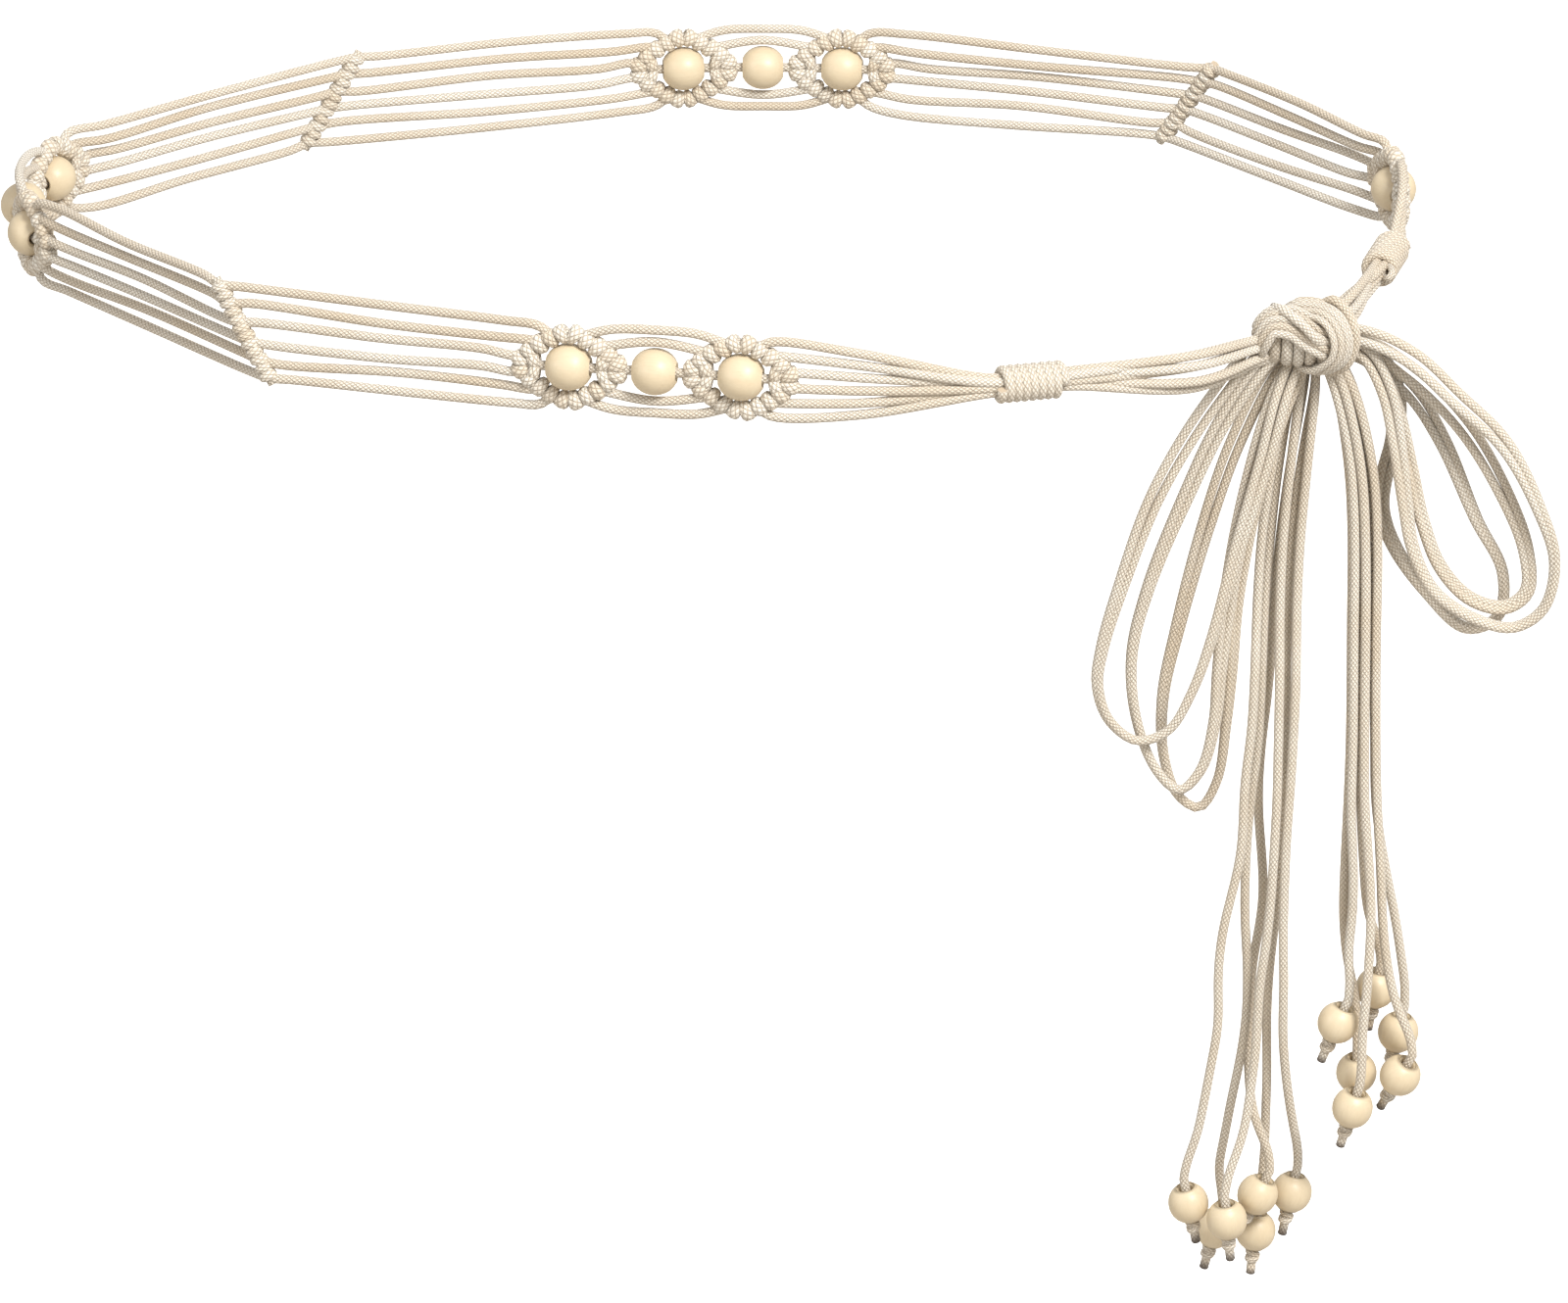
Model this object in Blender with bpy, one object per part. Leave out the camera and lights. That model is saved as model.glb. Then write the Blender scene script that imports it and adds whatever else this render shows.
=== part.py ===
"""Knotted cord belt with wooden beads, tied in a bow at the front right.

Sizes are metres, +Z is up and the front of the belt faces -Y. The origin is the
middle of the waist opening, half way up the band. The band is laid out flat
first: s runs round the waist from the bow, h runs up the band and t points out.
"""
import math

import bmesh
import bpy
from mathutils import Matrix, Vector

# Cord and wooden beads
CORD = 0.0025
GAP = 0.0003
BEAD_DIAMETER = 0.012
BEAD_LENGTH = 0.0112
TAIL_BEAD_DIAMETER = 0.0108
TAIL_BEAD_LENGTH = 0.0100
BORE = 0.0037

# Band of six cords with flowers, bars and whippings
CORD_COUNT = 6
CORD_PITCH = 0.0045
FLOWER_PINCH = 0.93
FLOWER_LENGTH = 0.0315
FLOWER_HEIGHT = 0.0238
FLOWER_ROUNDNESS = 1.55
HITCH = 0.0046
HITCH_VALLEY = 0.8
FLOWER_HITCHES = 8
BAR_SLANT = 0.0150
BAR_HITCHES = 5
BUNDLE = 0.0058
WHIP_TURN = 0.0017
WHIP_TURNS = 5
LINK_HEIGHT = 0.0105

# Lengths round the waist, from the bow along the front and back to the bow
FRONT_LEAD = 0.0767
WHIPPING_LENGTH = 0.0190
FRONT_GATHER = 0.0476
FRONT_RUN = 0.0715
LEFT_FRONT_RUN = 0.0798
LEFT_BACK_RUN = 0.0803
BACK_LEFT_RUN = 0.0839
BACK_RIGHT_RUN = 0.0832
RIGHT_RUN = 0.0721
RIGHT_GATHER = 0.0206
RIGHT_LEAD = 0.0440
BOW_DROP = 0.0080

# Tail ends
STOPPER = 0.0044
STOPPER_LENGTH = 0.0034
CUT_END = 0.0036
TAIL_SPACING = 3.0
CORD_TURN = 0.3

# Bow knot, half sizes of its core and thickness of the bands wound over it
KNOT_CORE = (0.0122, 0.0070, 0.0078)
BAND_THICKNESS = 0.0046
BAND_WIDTH = 0.0066

# Plan of the belt seen from above, as shares of its half length: where, x, y, drop
OUTLINE_COLUMNS = ("where", "x", "y", "drop")
OUTLINE = (
    ("bow", 0.833, -0.382, 1.00),
    ("front whipping", 0.434, -0.640, 0.20),
    ("front motif", -0.077, -0.621, 0.00),
    ("front left bar", -0.648, -0.467, 0.00),
    ("left motif, near end", -0.945, -0.132, 0.00),
    ("left motif", -1.000, 0.033, 0.00),
    ("left motif, far end", -0.940, 0.209, 0.00),
    ("back left bar", -0.571, 0.516, 0.00),
    ("back motif", 0.071, 0.665, 0.00),
    ("back right bar", 0.714, 0.500, 0.00),
    ("right flower", 0.989, 0.132, 0.00),
    ("right whipping", 0.962, -0.132, 0.40),
)

# Places of the six cords in a tight bundle, as shares of the cord: up, out
BUNDLE_SLOTS = ((0.50, -0.36), (0.50, 0.36), (0.05, -0.42), (-0.05, 0.42), (-0.50, -0.36), (-0.50, 0.36))

# Cords that stray from the bundle half way along each lead to the bow, in cord diameters: up, out
FRONT_LEAD_STRAYS = ((-1.8, 0.4), (-2.9, -0.5))
RIGHT_LEAD_STRAYS = ((1.7, 0.5),)

# Bundle at the head of each tail, millimetres from the middle of the knot: x, y, z, half width, half depth
LEFT_BUNDLE = (
    (0.8, 4.8, -5, 4.2, 3.2),
    (0.5, 5, -13, 4.6, 3.4),
    (-2, 5, -40, 5.6, 3.4),
    (-4, 4.5, -70, 6.5, 3.6),
    (-5.5, 2.4, -105, 7.6, 4.6),
)
RIGHT_BUNDLE = (
    (9, 1.2, -5.5, 2.6, 3),
    (12.3, 1.2, -14, 4.4, 3.6),
    (16, 1.2, -40, 4.8, 3.6),
    (18, 1.2, -85, 5.2, 3.8),
    (18.7, 0.8, -130, 5.6, 4.4),
)

# Bands of the bow knot, millimetres from the middle of the knot: x, y, z
CROSSING_BAND = ((-10.5, 3, -1.5), (-11.5, -3, 3), (-7.5, -6, 5.5), (-1, -7.5, 2.5), (5, -6.5, -1.5), (8, -3, -3))
TURNING_BAND = ((-5, 3, 4), (-3, -1, 7.5), (2.5, -2, 8.5), (8, -4, 6), (10.5, -5, 0), (9.5, -4.5, -5.5), (5.5, -2, -8.5), (2, 1, -6))

# Paired cords of each bow loop, millimetres from the middle of the knot: x, y, z
LEFT_LOOP = (
    ((-1, 0, -1), (-10.5, -5, 0.5), (-23, -7, -14), (-37, -8, -39), (-46, -8, -65.5), (-50.5, -7, -83),
     (-51.5, -6, -93.5), (-48.5, -5, -103.5), (-41, -4, -110), (-33, -4, -107), (-27, -4, -96), (-22, -4, -80.5),
     (-16, -4, -56), (-9.5, -4, -31.5), (-5, -4, -12.5), (-0.5, 0, -2.5)),
    ((-1, 0, -1.5), (-7.5, -4, -2), (-19.5, -4, -19.5), (-29.5, -3.5, -42.5), (-38.5, -3, -67.5), (-42.5, -2, -87),
     (-41, -1, -105.5), (-35.5, -1, -120), (-29.5, -1, -125.5), (-24, -1, -120), (-20.5, -1.5, -106),
     (-19.5, -2, -90.5), (-17.5, -2, -68.5), (-13, -2, -41), (-6, -2.5, -13.5), (0, 0, -3)),
    ((-1, 0, -2), (-6.5, 0, -6.5), (-16.5, 1, -28), (-24, 2, -53), (-30.5, 3, -81), (-34, 4, -101),
     (-33.5, 5, -118), (-29.5, 5, -129.5), (-24, 5, -133), (-19.5, 4, -125), (-17.5, 2, -108), (-16.5, 1, -92.5),
     (-15.5, 0, -70.5), (-11, -1, -40), (-5, -1.8, -17.5), (0.5, 0, -4)),
)
RIGHT_LOOP = (
    ((0, 0, 0.5), (14, -3, 2.5), (27.5, -5, -3), (39, -6, -13.5), (52, -6, -26.5), (61.5, -6, -44.5),
     (66, -5, -59.5), (63.5, -4, -73), (56, -3, -78.5), (46, -3, -76), (35.5, -3, -68.5), (29.5, -3, -56.5),
     (27, -3, -43), (24.5, -3, -26.5), (21.5, -3, -13), (16, -2, -3), (10.5, -1, 1)),
    ((0, 0, -0.5), (14.5, 0, -1), (28, 0, -9), (42, 0, -23), (52.5, 0, -40), (59.5, 0, -57.5),
     (60, 0, -70), (54, 0, -74.5), (45, 0, -72), (37, 0, -63), (32, 0, -49.5), (28.5, 0, -34.5),
     (24.5, 0, -19.5), (17.5, 0, -4.5), (10.5, 0, 1)),
    ((0, 0, -1), (14.5, 4, -5), (27.5, 5, -15.5), (36.5, 6, -30), (46, 6, -52), (53.5, 6, -67),
     (52.5, 6, -79.5), (44.5, 6, -82.5), (33.5, 6, -72), (25, 7.5, -60), (21.5, 8, -50), (22, 8, -40.5),
     (24.5, 8, -29.5), (24, 6, -16), (19, 3, -5.5), (11, 1.5, 1)),
)

# Tail cords below their bundle, millimetres from the middle of the knot: route, middle of the bead, way the end points
LEFT_TAIL = (
    (((-10.5, -1, -92.5), (-11, -1, -109), (-12.5, -1.5, -123), (-13, -2, -142.5), (-15, -2, -153.5), (-17.5, -2, -165.5),
      (-18.5, -2, -179.5), (-18, -2, -192), (-19.5, -2, -202.5), (-21.5, -2, -215.5), (-23.5, -2, -227)),
     (-25, -1, -245.5), (2.5, 1, -13)),
    (((-8.5, 2, -94), (-9, 2, -113.5), (-10.5, 2, -127.5), (-11.5, 2, -144.5), (-11.5, 2, -163.5), (-10.5, 2.5, -177),
      (-10.5, 2.5, -193), (-12, 3, -206), (-14, 4.5, -218.5), (-15.5, 7, -231), (-16.8, 10, -243)),
     (-17, 11, -259), (-2.5, 0, -10)),
    (((-6.5, 5, -98.5), (-8, 5.5, -115), (-8.5, 5.5, -132), (-7, 5.5, -149), (-6.5, 6, -160), (-7.5, 6.2, -168.5),
      (-9, 6.2, -179), (-9.5, 6.2, -194.5), (-9.5, 5, -208.5), (-8, 2, -221.5)),
     (-6.5, 1, -244), (-4.5, 0, -10)),
    (((-4, -1, -95), (-4, -1.5, -112), (-4, -2, -128.5), (-4.5, -2, -144), (-5, -2, -157), (-6, -2, -169.5),
      (-7.5, -2, -182), (-8, -2.5, -199), (-9.5, -3, -213.5), (-11, -4.5, -224)),
     (-15, -7, -247.5), (1, 0.5, -10)),
    (((-2, 3, -95), (-1.8, 2.5, -112), (-1.5, 2.5, -133), (-2.5, 2.5, -147.5), (-3.2, 2.5, -161.5), (-4.5, 3.5, -177),
      (-5, 4.5, -193), (-4.5, 5.5, -209), (-4.5, 7, -225.5), (-4.5, 8.7, -238), (-5.2, 8.9, -244.5)),
     (-6.5, 6.5, -257.5), (-1, -1, -10)),
    (((0.3, -1, -95), (0, -1.5, -108), (-0.5, -2, -123), (-1.2, -2, -137), (-1.5, -2, -154), (-1.5, -2, -168),
      (-1, -2, -182.5), (-1, -1, -195.5), (1, 2, -214.5), (3.5, 5.5, -229)),
     (3, 7.5, -246.5), (-2, -1, -10)),
)
RIGHT_TAIL = (
    (((15.5, -1.5, -112), (15.5, -1.5, -131.5), (16.5, -2, -148.5), (16.5, -2, -162.5), (15.5, -2, -173)),
     (13.5, -2, -192), (-3.7, 0.5, -10)),
    (((15, 1.8, -112), (14.8, 2, -132), (14.5, 2.5, -148), (14.5, 3, -163), (16, 4.5, -177), (18.8, 4.8, -190)),
     (19, 2, -208.5), (0, 1, -10)),
    (((18, 3, -112), (18.3, 3, -131.5), (19.5, 3.2, -148.5), (21, 4, -163)),
     (24, 8, -186.5), (-1.5, 0, -10)),
    (((21.5, 2.8, -114.5), (22.2, 3, -131.5), (25, 4, -148.5), (28.5, 4, -165.5), (30.5, 4, -178)),
     (30, 5, -198), (-2, 0, -10)),
    (((21.5, -1, -113), (22.3, -1.2, -130), (23.5, -2, -146), (24.5, -3, -163), (26, -4, -175), (29, -5.5, -187)),
     (30, -6, -205.5), (-4, 2.5, -9)),
    (((18.5, -2, -114), (19, -2.2, -130), (20.5, -3.2, -146.5), (21.3, -4.5, -159), (21, -6, -170.5),
      (20.4, -7.5, -182.5), (19.4, -8.5, -196)),
     (17.5, -8, -214), (-2.2, 1, -9)),
)

# Colours in linear light and roughness of each material
COTTON = ((0.80, 0.70, 0.56), 0.70)
WOOD = ((0.84, 0.67, 0.46), 0.45)

MM = 0.001
UP = Vector((0.0, 0.0, 1.0))
FRONT = Vector((0.0, -1.0, 0.0))
CORD_RADIUS = CORD / 2
OUTLINE_STEPS = 16
ROUTE_STEPS = 8
CORD_SIDES = 5
HITCH_SIDES = 6
BEAD_SIDES = 10
STRIP_SIDES = 5
BUNDLE_SIDES = 8
LOOP_STATIONS = 13


def clear_scene():
    for item in list(bpy.data.objects):
        bpy.data.objects.remove(item, do_unlink=True)


def material(name, finish):
    colour, roughness = finish
    made = bpy.data.materials.new(name)
    made.use_nodes = True
    shader = made.node_tree.nodes["Principled BSDF"]
    shader.inputs["Base Color"].default_value = (*colour, 1.0)
    shader.inputs["Roughness"].default_value = roughness
    shader.inputs["Metallic"].default_value = 0.0
    return made


def spline(points, steps, closed=False):
    """Points along a smooth curve through the given ones, evenly timed by their spacing."""
    count = len(points)
    spans = count if closed else count - 1
    dense = []
    for i in range(spans):
        b = points[i]
        c = points[(i + 1) % count]
        a = points[i - 1] if closed or i > 0 else 2 * b - c
        d = points[(i + 2) % count] if closed or i + 2 < count else 2 * c - b
        ab = math.sqrt((b - a).length)
        bc = math.sqrt((c - b).length)
        cd = math.sqrt((d - c).length)
        for step in range(steps):
            t = step / steps
            into = (b - a) / ab - (c - a) / (ab + bc) + (c - b) / bc
            out = (c - b) / bc - (d - b) / (bc + cd) + (d - c) / cd
            tangent_b = into * bc
            tangent_c = out * bc
            h1 = 2 * t ** 3 - 3 * t ** 2 + 1
            h2 = t ** 3 - 2 * t ** 2 + t
            h3 = t ** 3 - t ** 2
            dense.append(h1 * b + h2 * tangent_b + (1 - h1) * c + h3 * tangent_c)
    if not closed:
        dense.append(points[-1].copy())
    return dense


def resample(dense, count):
    """The given number of points, evenly spaced along a dense path from end to end."""
    lengths = [0.0]
    for a, b in zip(dense, dense[1:]):
        lengths.append(lengths[-1] + (b - a).length)
    spaced = []
    j = 0
    for i in range(count):
        target = lengths[-1] * i / (count - 1)
        while j < len(dense) - 2 and lengths[j + 1] < target:
            j += 1
        share = (target - lengths[j]) / (lengths[j + 1] - lengths[j])
        spaced.append(dense[j].lerp(dense[j + 1], min(max(share, 0.0), 1.0)))
    return spaced


def path_length(path):
    return sum((b - a).length for a, b in zip(path, path[1:]))


# Stations round the waist
FLOWER_REACH = FLOWER_LENGTH / 2
BEAD_GAP = GAP + CORD_RADIUS * 0.2
MOTIF_STEP = FLOWER_REACH + BEAD_LENGTH / 2 + BEAD_GAP
MOTIF_HALF = MOTIF_STEP + FLOWER_REACH
FRONT_WHIP_AT = FRONT_LEAD + WHIPPING_LENGTH / 2
FRONT_MOTIF_AT = FRONT_LEAD + WHIPPING_LENGTH + FRONT_GATHER + MOTIF_HALF
FRONT_BAR_AT = FRONT_MOTIF_AT + MOTIF_HALF + FRONT_RUN
LEFT_MOTIF_AT = FRONT_BAR_AT + LEFT_FRONT_RUN + MOTIF_HALF
LEFT_BAR_AT = LEFT_MOTIF_AT + MOTIF_HALF + LEFT_BACK_RUN
BACK_MOTIF_AT = LEFT_BAR_AT + BACK_LEFT_RUN + MOTIF_HALF
RIGHT_BAR_AT = BACK_MOTIF_AT + MOTIF_HALF + BACK_RIGHT_RUN
FLOWER_AT = RIGHT_BAR_AT + RIGHT_RUN + FLOWER_REACH
RIGHT_WHIP_AT = FLOWER_AT + FLOWER_REACH + RIGHT_GATHER + WHIPPING_LENGTH / 2
GIRTH = RIGHT_WHIP_AT + WHIPPING_LENGTH / 2 + RIGHT_LEAD


def plan_of_waist():
    """The closed centre line of the band and its running length, at the belt's real girth."""
    rows = [Vector((x, y, 0.0)) for where, x, y, drop in OUTLINE]
    unit = spline(rows, OUTLINE_STEPS, closed=True)
    scale = GIRTH / path_length(unit + unit[:1])
    drops = [Vector((drop, 0.0, 0.0)) for where, x, y, drop in OUTLINE]
    level = []
    for i in range(len(drops)):
        for step in range(OUTLINE_STEPS):
            share = step / OUTLINE_STEPS
            ease = share * share * (3 - 2 * share)
            level.append(drops[i].lerp(drops[(i + 1) % len(drops)], ease).x)
    line = [p * scale - UP * BOW_DROP * d for p, d in zip(unit, level)]
    line.append(line[0].copy())
    running = [0.0]
    for a, b in zip(line, line[1:]):
        running.append(running[-1] + (b - a).length)
    return line, [r * GIRTH / running[-1] for r in running]


WAIST_LINE, WAIST_RUN = plan_of_waist()
KNOT_AT = WAIST_LINE[0].copy()


def waist_point(s):
    s = s % GIRTH
    low, high = 0, len(WAIST_RUN) - 1
    while high - low > 1:
        mid = (low + high) // 2
        if WAIST_RUN[mid] <= s:
            low = mid
        else:
            high = mid
    share = (s - WAIST_RUN[low]) / (WAIST_RUN[high] - WAIST_RUN[low])
    return WAIST_LINE[low].lerp(WAIST_LINE[high], share)


def along(s):
    """Direction of the band at s, smoothed over a bead's length."""
    return (waist_point(s + BEAD_LENGTH / 2) - waist_point(s - BEAD_LENGTH / 2)).normalized()


def outward(s):
    heading = along(s)
    return UP.cross(Vector((heading.x, heading.y, 0.0))).normalized()


def on_band(s, h, t=0.0):
    return waist_point(s) + UP * h + outward(s) * t


def tube(path, sizes, sides, facing, closed=False):
    """A closed skin over rings set along a path: sizes are half width and half thickness."""
    bm = bmesh.new()
    rings = []
    count = len(path)
    for i, centre in enumerate(path):
        before = path[i - 1] if closed or i > 0 else centre
        after = path[(i + 1) % count] if closed or i + 1 < count else centre
        heading = (after - before).normalized()
        wide = heading.cross(facing[i]).normalized()
        thick = wide.cross(heading).normalized()
        half_width, half_thickness = sizes[i]
        place = Matrix((wide * half_width, thick * half_thickness, heading)).transposed().to_4x4()
        place.translation = centre
        made = bmesh.ops.create_circle(bm, cap_ends=False, segments=sides, radius=1.0, matrix=place)
        rings.append(made["verts"])
    if not closed:
        bm.faces.new(rings[0])
        bm.faces.new(rings[-1])
    loops = []
    for ring in rings:
        inside = set(ring)
        loops.append([e for e in {e for v in ring for e in v.link_edges} if set(e.verts) <= inside])
    for i in range(count if closed else count - 1):
        bmesh.ops.bridge_loops(bm, edges=loops[i] + loops[(i + 1) % count])
    bmesh.ops.recalc_face_normals(bm, faces=bm.faces)
    return bm


def trimmed(bm, point, normal):
    """The tube cut off square to normal at point, with a flat end."""
    geometry = bm.verts[:] + bm.edges[:] + bm.faces[:]
    cut = bmesh.ops.bisect_plane(bm, geom=geometry, plane_co=point, plane_no=normal, clear_outer=True)
    rim = [e for e in cut["geom_cut"] if isinstance(e, bmesh.types.BMEdge)]
    bmesh.ops.edgeloop_fill(bm, edges=rim)
    bmesh.ops.recalc_face_normals(bm, faces=bm.faces)
    return bm


def new_object(name, bm, finish, collection=None):
    mesh = bpy.data.meshes.new(name)
    bm.to_mesh(mesh)
    bm.free()
    mesh.shade_smooth()
    mesh.set_sharp_from_angle(angle=math.radians(50))
    if finish:
        mesh.materials.append(finish)
    made = bpy.data.objects.new(name, mesh)
    (collection or bpy.context.scene.collection).objects.link(made)
    return made


def helper_collection(name, bodies):
    """Bodies that a Boolean reads, kept out of the model itself."""
    group = bpy.data.collections.new(name)
    bpy.context.scene.collection.children.link(group)
    for i, bm in enumerate(bodies):
        guide = new_object(f"{name}_{i + 1}", bm, None, group)
        guide.hide_render = True
        guide.display_type = "WIRE"
    return group


def cut_clear(made, cut_by):
    cut = made.modifiers.new("clearance", "BOOLEAN")
    cut.operation = "DIFFERENCE"
    cut.solver = "EXACT"
    cut.operand_type = "COLLECTION"
    cut.collection = cut_by


def fused(name, bodies, finish, cut_by=None):
    """One object made of bodies that run into each other, less whatever cut_by holds."""
    made = new_object(name, bodies[0], finish)
    union = made.modifiers.new("union", "BOOLEAN")
    union.operation = "UNION"
    union.solver = "EXACT"
    union.operand_type = "COLLECTION"
    union.collection = helper_collection(f"{name}_bodies", bodies[1:])
    if cut_by:
        cut_clear(made, cut_by)
    return made


def band_tube(line, radius, sides=CORD_SIDES):
    """A round cord through (s, h, t) places on the band."""
    path = [on_band(*place) for place in line]
    facing = [outward(place[0]) + UP * CORD_TURN for place in line]
    return tube(path, [(radius, radius)] * len(line), sides, facing)


# Flowers: a ring of hitches round a bead, drawn out to a point at both ends
RING_LONG = FLOWER_LENGTH / 2 - HITCH / 2
RING_HIGH = FLOWER_HEIGHT / 2 - HITCH / 2


def ring_place(angle):
    power = 2 / FLOWER_ROUNDNESS
    c, s = math.cos(angle), math.sin(angle)
    along_band = math.copysign(abs(c) ** power, c) * RING_LONG
    up_band = math.copysign(abs(s) ** power, s) * RING_HIGH
    return Vector((along_band, up_band, 0.0))


RING_DENSE = [ring_place(2 * math.pi * i / 144) for i in range(145)]


def flower_edge(h):
    """How far from its middle a flower reaches along the band at height h."""
    reach = 0.0
    radius = HITCH / 2
    for place in RING_DENSE:
        rise = h - place.y
        if abs(rise) < radius:
            reach = max(reach, place.x + math.sqrt(radius ** 2 - rise ** 2))
    return reach


def hitch_ring(middle):
    stations = resample(RING_DENSE, FLOWER_HITCHES * 2 + 1)[:-1]
    path = [on_band(middle + p.x, p.y) for p in stations]
    facing = [outward(middle + p.x) for p in stations]
    ridge = HITCH / 2
    valley = ridge * HITCH_VALLEY
    sizes = [(ridge, ridge) if i % 2 == 0 else (valley, valley) for i in range(len(path))]
    return tube(path, sizes, HITCH_SIDES, facing, closed=True)


def bead_line(first, last, bead_places):
    """A cord from first to last, dead straight through each bead."""
    path = [on_band(first, 0.0)]
    for s in bead_places:
        half = along(s) * (BEAD_LENGTH / 2 + GAP)
        path += [waist_point(s) - half, waist_point(s) + half]
    path.append(on_band(last, 0.0))
    facing = [outward(first)] + [outward(s) for s in bead_places for end in (0, 1)] + [outward(last)]
    facing = [way + UP * CORD_TURN for way in facing]
    return tube(path, [(CORD_RADIUS, CORD_RADIUS)] * len(path), CORD_SIDES, facing)


def motif_link(middle, angle, height, span):
    """A cord from one flower of a motif to the other, above or below the bead between."""
    side = math.copysign(1.0, height)
    foot = ring_place(angle)
    line = []
    for end in (-1, 1):
        at_foot = (middle + end * (MOTIF_STEP - foot.x), side * foot.y, 0.0)
        shoulder = (middle + end * span, height, 0.0)
        line += [at_foot, shoulder] if end < 0 else [shoulder, at_foot]
    return band_tube(line, CORD_RADIUS)


def motif_net(name, middle, finish):
    flowers = (middle - MOTIF_STEP, middle + MOTIF_STEP)
    over_bead = BEAD_DIAMETER / 2 + GAP + CORD_RADIUS
    bodies = [hitch_ring(flowers[0]), hitch_ring(flowers[1])]
    bodies.append(bead_line(flowers[0] - RING_LONG, flowers[1] + RING_LONG, (flowers[0], middle, flowers[1])))
    for side in (-1, 1):
        bodies.append(motif_link(middle, math.radians(68), side * LINK_HEIGHT, MOTIF_STEP * 0.6))
        bodies.append(motif_link(middle, math.radians(38), side * over_bead, BEAD_LENGTH * 0.55))
    return fused(name, bodies, finish)


def flower_net(name, middle, finish):
    bodies = [hitch_ring(middle), bead_line(middle - RING_LONG, middle + RING_LONG, (middle,))]
    return fused(name, bodies, finish)


def bead(name, diameter, length, place, finish):
    """A drilled wooden bead, turned about the bore."""
    bore, outer, half = BORE / 2, diameter / 2, length / 2
    profile = ((bore, -half), (outer * 0.86, -half * 0.58), (outer, 0.0), (outer * 0.86, half * 0.58), (bore, half))
    bm = bmesh.new()
    verts = [bm.verts.new((r, 0.0, z)) for r, z in profile]
    edges = [bm.edges.new((verts[i - 1], verts[i])) for i in range(len(verts))]
    bmesh.ops.spin(bm, geom=verts + edges, cent=(0, 0, 0), axis=(0, 0, 1), angle=2 * math.pi,
                   steps=BEAD_SIDES, use_merge=True)
    bmesh.ops.remove_doubles(bm, verts=bm.verts, dist=1e-6)
    bmesh.ops.recalc_face_normals(bm, faces=bm.faces)
    made = new_object(name, bm, finish)
    made.matrix_world = place
    return made


def along_axis(centre, heading):
    """A placement that turns local Z to heading."""
    place = heading.to_track_quat("Z", "Y").to_matrix().to_4x4()
    place.translation = centre
    return place


def cord_height(i):
    return ((CORD_COUNT - 1) / 2 - i) * CORD_PITCH


def edge_cut(flower, side, h):
    """Point and outward normal of the flat that ends a cord just clear of a flower."""
    step = CORD_RADIUS * 0.5
    slope = (flower_edge(abs(h) + step) - flower_edge(abs(h) - step)) / (2 * step)
    tilt = Vector((1.0, math.copysign(slope, h), 0.0)).normalized()
    s = flower + side * (flower_edge(abs(h)) + GAP / tilt.x)
    normal = -(along(s) * tilt.x * side + UP * tilt.y)
    return on_band(s, h), normal, s


def ladder_cord(i, near_flower, bar, far_flower):
    h = cord_height(i)
    pinched = h * FLOWER_PINCH
    start_point, start_normal, start = edge_cut(near_flower, 1, pinched)
    end_point, end_normal, end = edge_cut(far_flower, -1, pinched)
    cross = bar + BAR_SLANT * h / ((CORD_COUNT - 1) * CORD_PITCH)
    line = [(start - CORD, pinched, 0.0), (cross, h, 0.0), (end + CORD, pinched, 0.0)]
    body = band_tube(line, CORD_RADIUS)
    body = trimmed(body, start_point, start_normal)
    return trimmed(body, end_point, end_normal)


def hitch_bar(middle):
    half = cord_height(0) + GAP
    stations = BAR_HITCHES * 2 + 1
    line, sizes = [], []
    for i in range(stations):
        h = half - 2 * half * i / (stations - 1)
        line.append((middle + BAR_SLANT * h / (2 * cord_height(0)), h, 0.0))
        radius = HITCH / 2 * (HITCH_VALLEY if i % 2 == 0 else 1.0)
        sizes.append((radius, radius))
    path = [on_band(*place) for place in line]
    facing = [outward(place[0]) for place in line]
    return tube(path, sizes, HITCH_SIDES, facing)


def ladder(name, near_flower, bar, far_flower, finish):
    bodies = [hitch_bar(bar)]
    bodies += [ladder_cord(i, near_flower, bar, far_flower) for i in range(CORD_COUNT)]
    return fused(name, bodies, finish)


def bundle_place(whip, offset, i):
    up, out = BUNDLE_SLOTS[i]
    centre = waist_point(whip) + along(whip) * offset
    return centre + UP * up * CORD + outward(whip) * out * CORD


def lead(name, flower, whip, side, bow, strays, finish, knot_clearance):
    """Six cords gathered from a flower into a whipped bundle and led on to the bow."""
    reach = WHIPPING_LENGTH / 2 + CORD
    half_way = (whip + side * WHIPPING_LENGTH / 2 + bow) / 2
    path = [waist_point(whip) + along(whip) * offset * side for offset in (-reach, reach)]
    path += [waist_point(half_way), KNOT_AT.copy()]
    facing = [outward(whip)] * 2 + [outward(half_way)] * 2
    bodies = [tube(path, [(BUNDLE / 2, BUNDLE / 2)] * len(path), BUNDLE_SIDES, facing)]
    for i in range(CORD_COUNT):
        pinched = cord_height(i) * FLOWER_PINCH
        cut_point, cut_normal, start = edge_cut(flower, side, pinched)
        entry = bundle_place(whip, -side * (reach - CORD), i)
        first = on_band(start - side * CORD, pinched)
        part_way = on_band(start * 0.65 + whip * 0.35, pinched * 0.82)
        path = [first, part_way, entry]
        way = outward(whip) + UP * CORD_TURN * (1 + i / CORD_COUNT)
        gather = tube(path, [(CORD_RADIUS, CORD_RADIUS)] * 3, CORD_SIDES, [way] * 3)
        bodies.append(trimmed(gather, cut_point, cut_normal))
    for up, out in strays:
        leave = waist_point(whip) + along(whip) * side * (reach - CORD)
        middle = on_band(half_way, up * CORD, out * CORD)
        path = [leave, middle, KNOT_AT]
        bodies.append(tube(path, [(CORD_RADIUS, CORD_RADIUS)] * 3, CORD_SIDES, [outward(half_way)] * 3))
    return fused(name, bodies, finish, knot_clearance)


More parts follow.
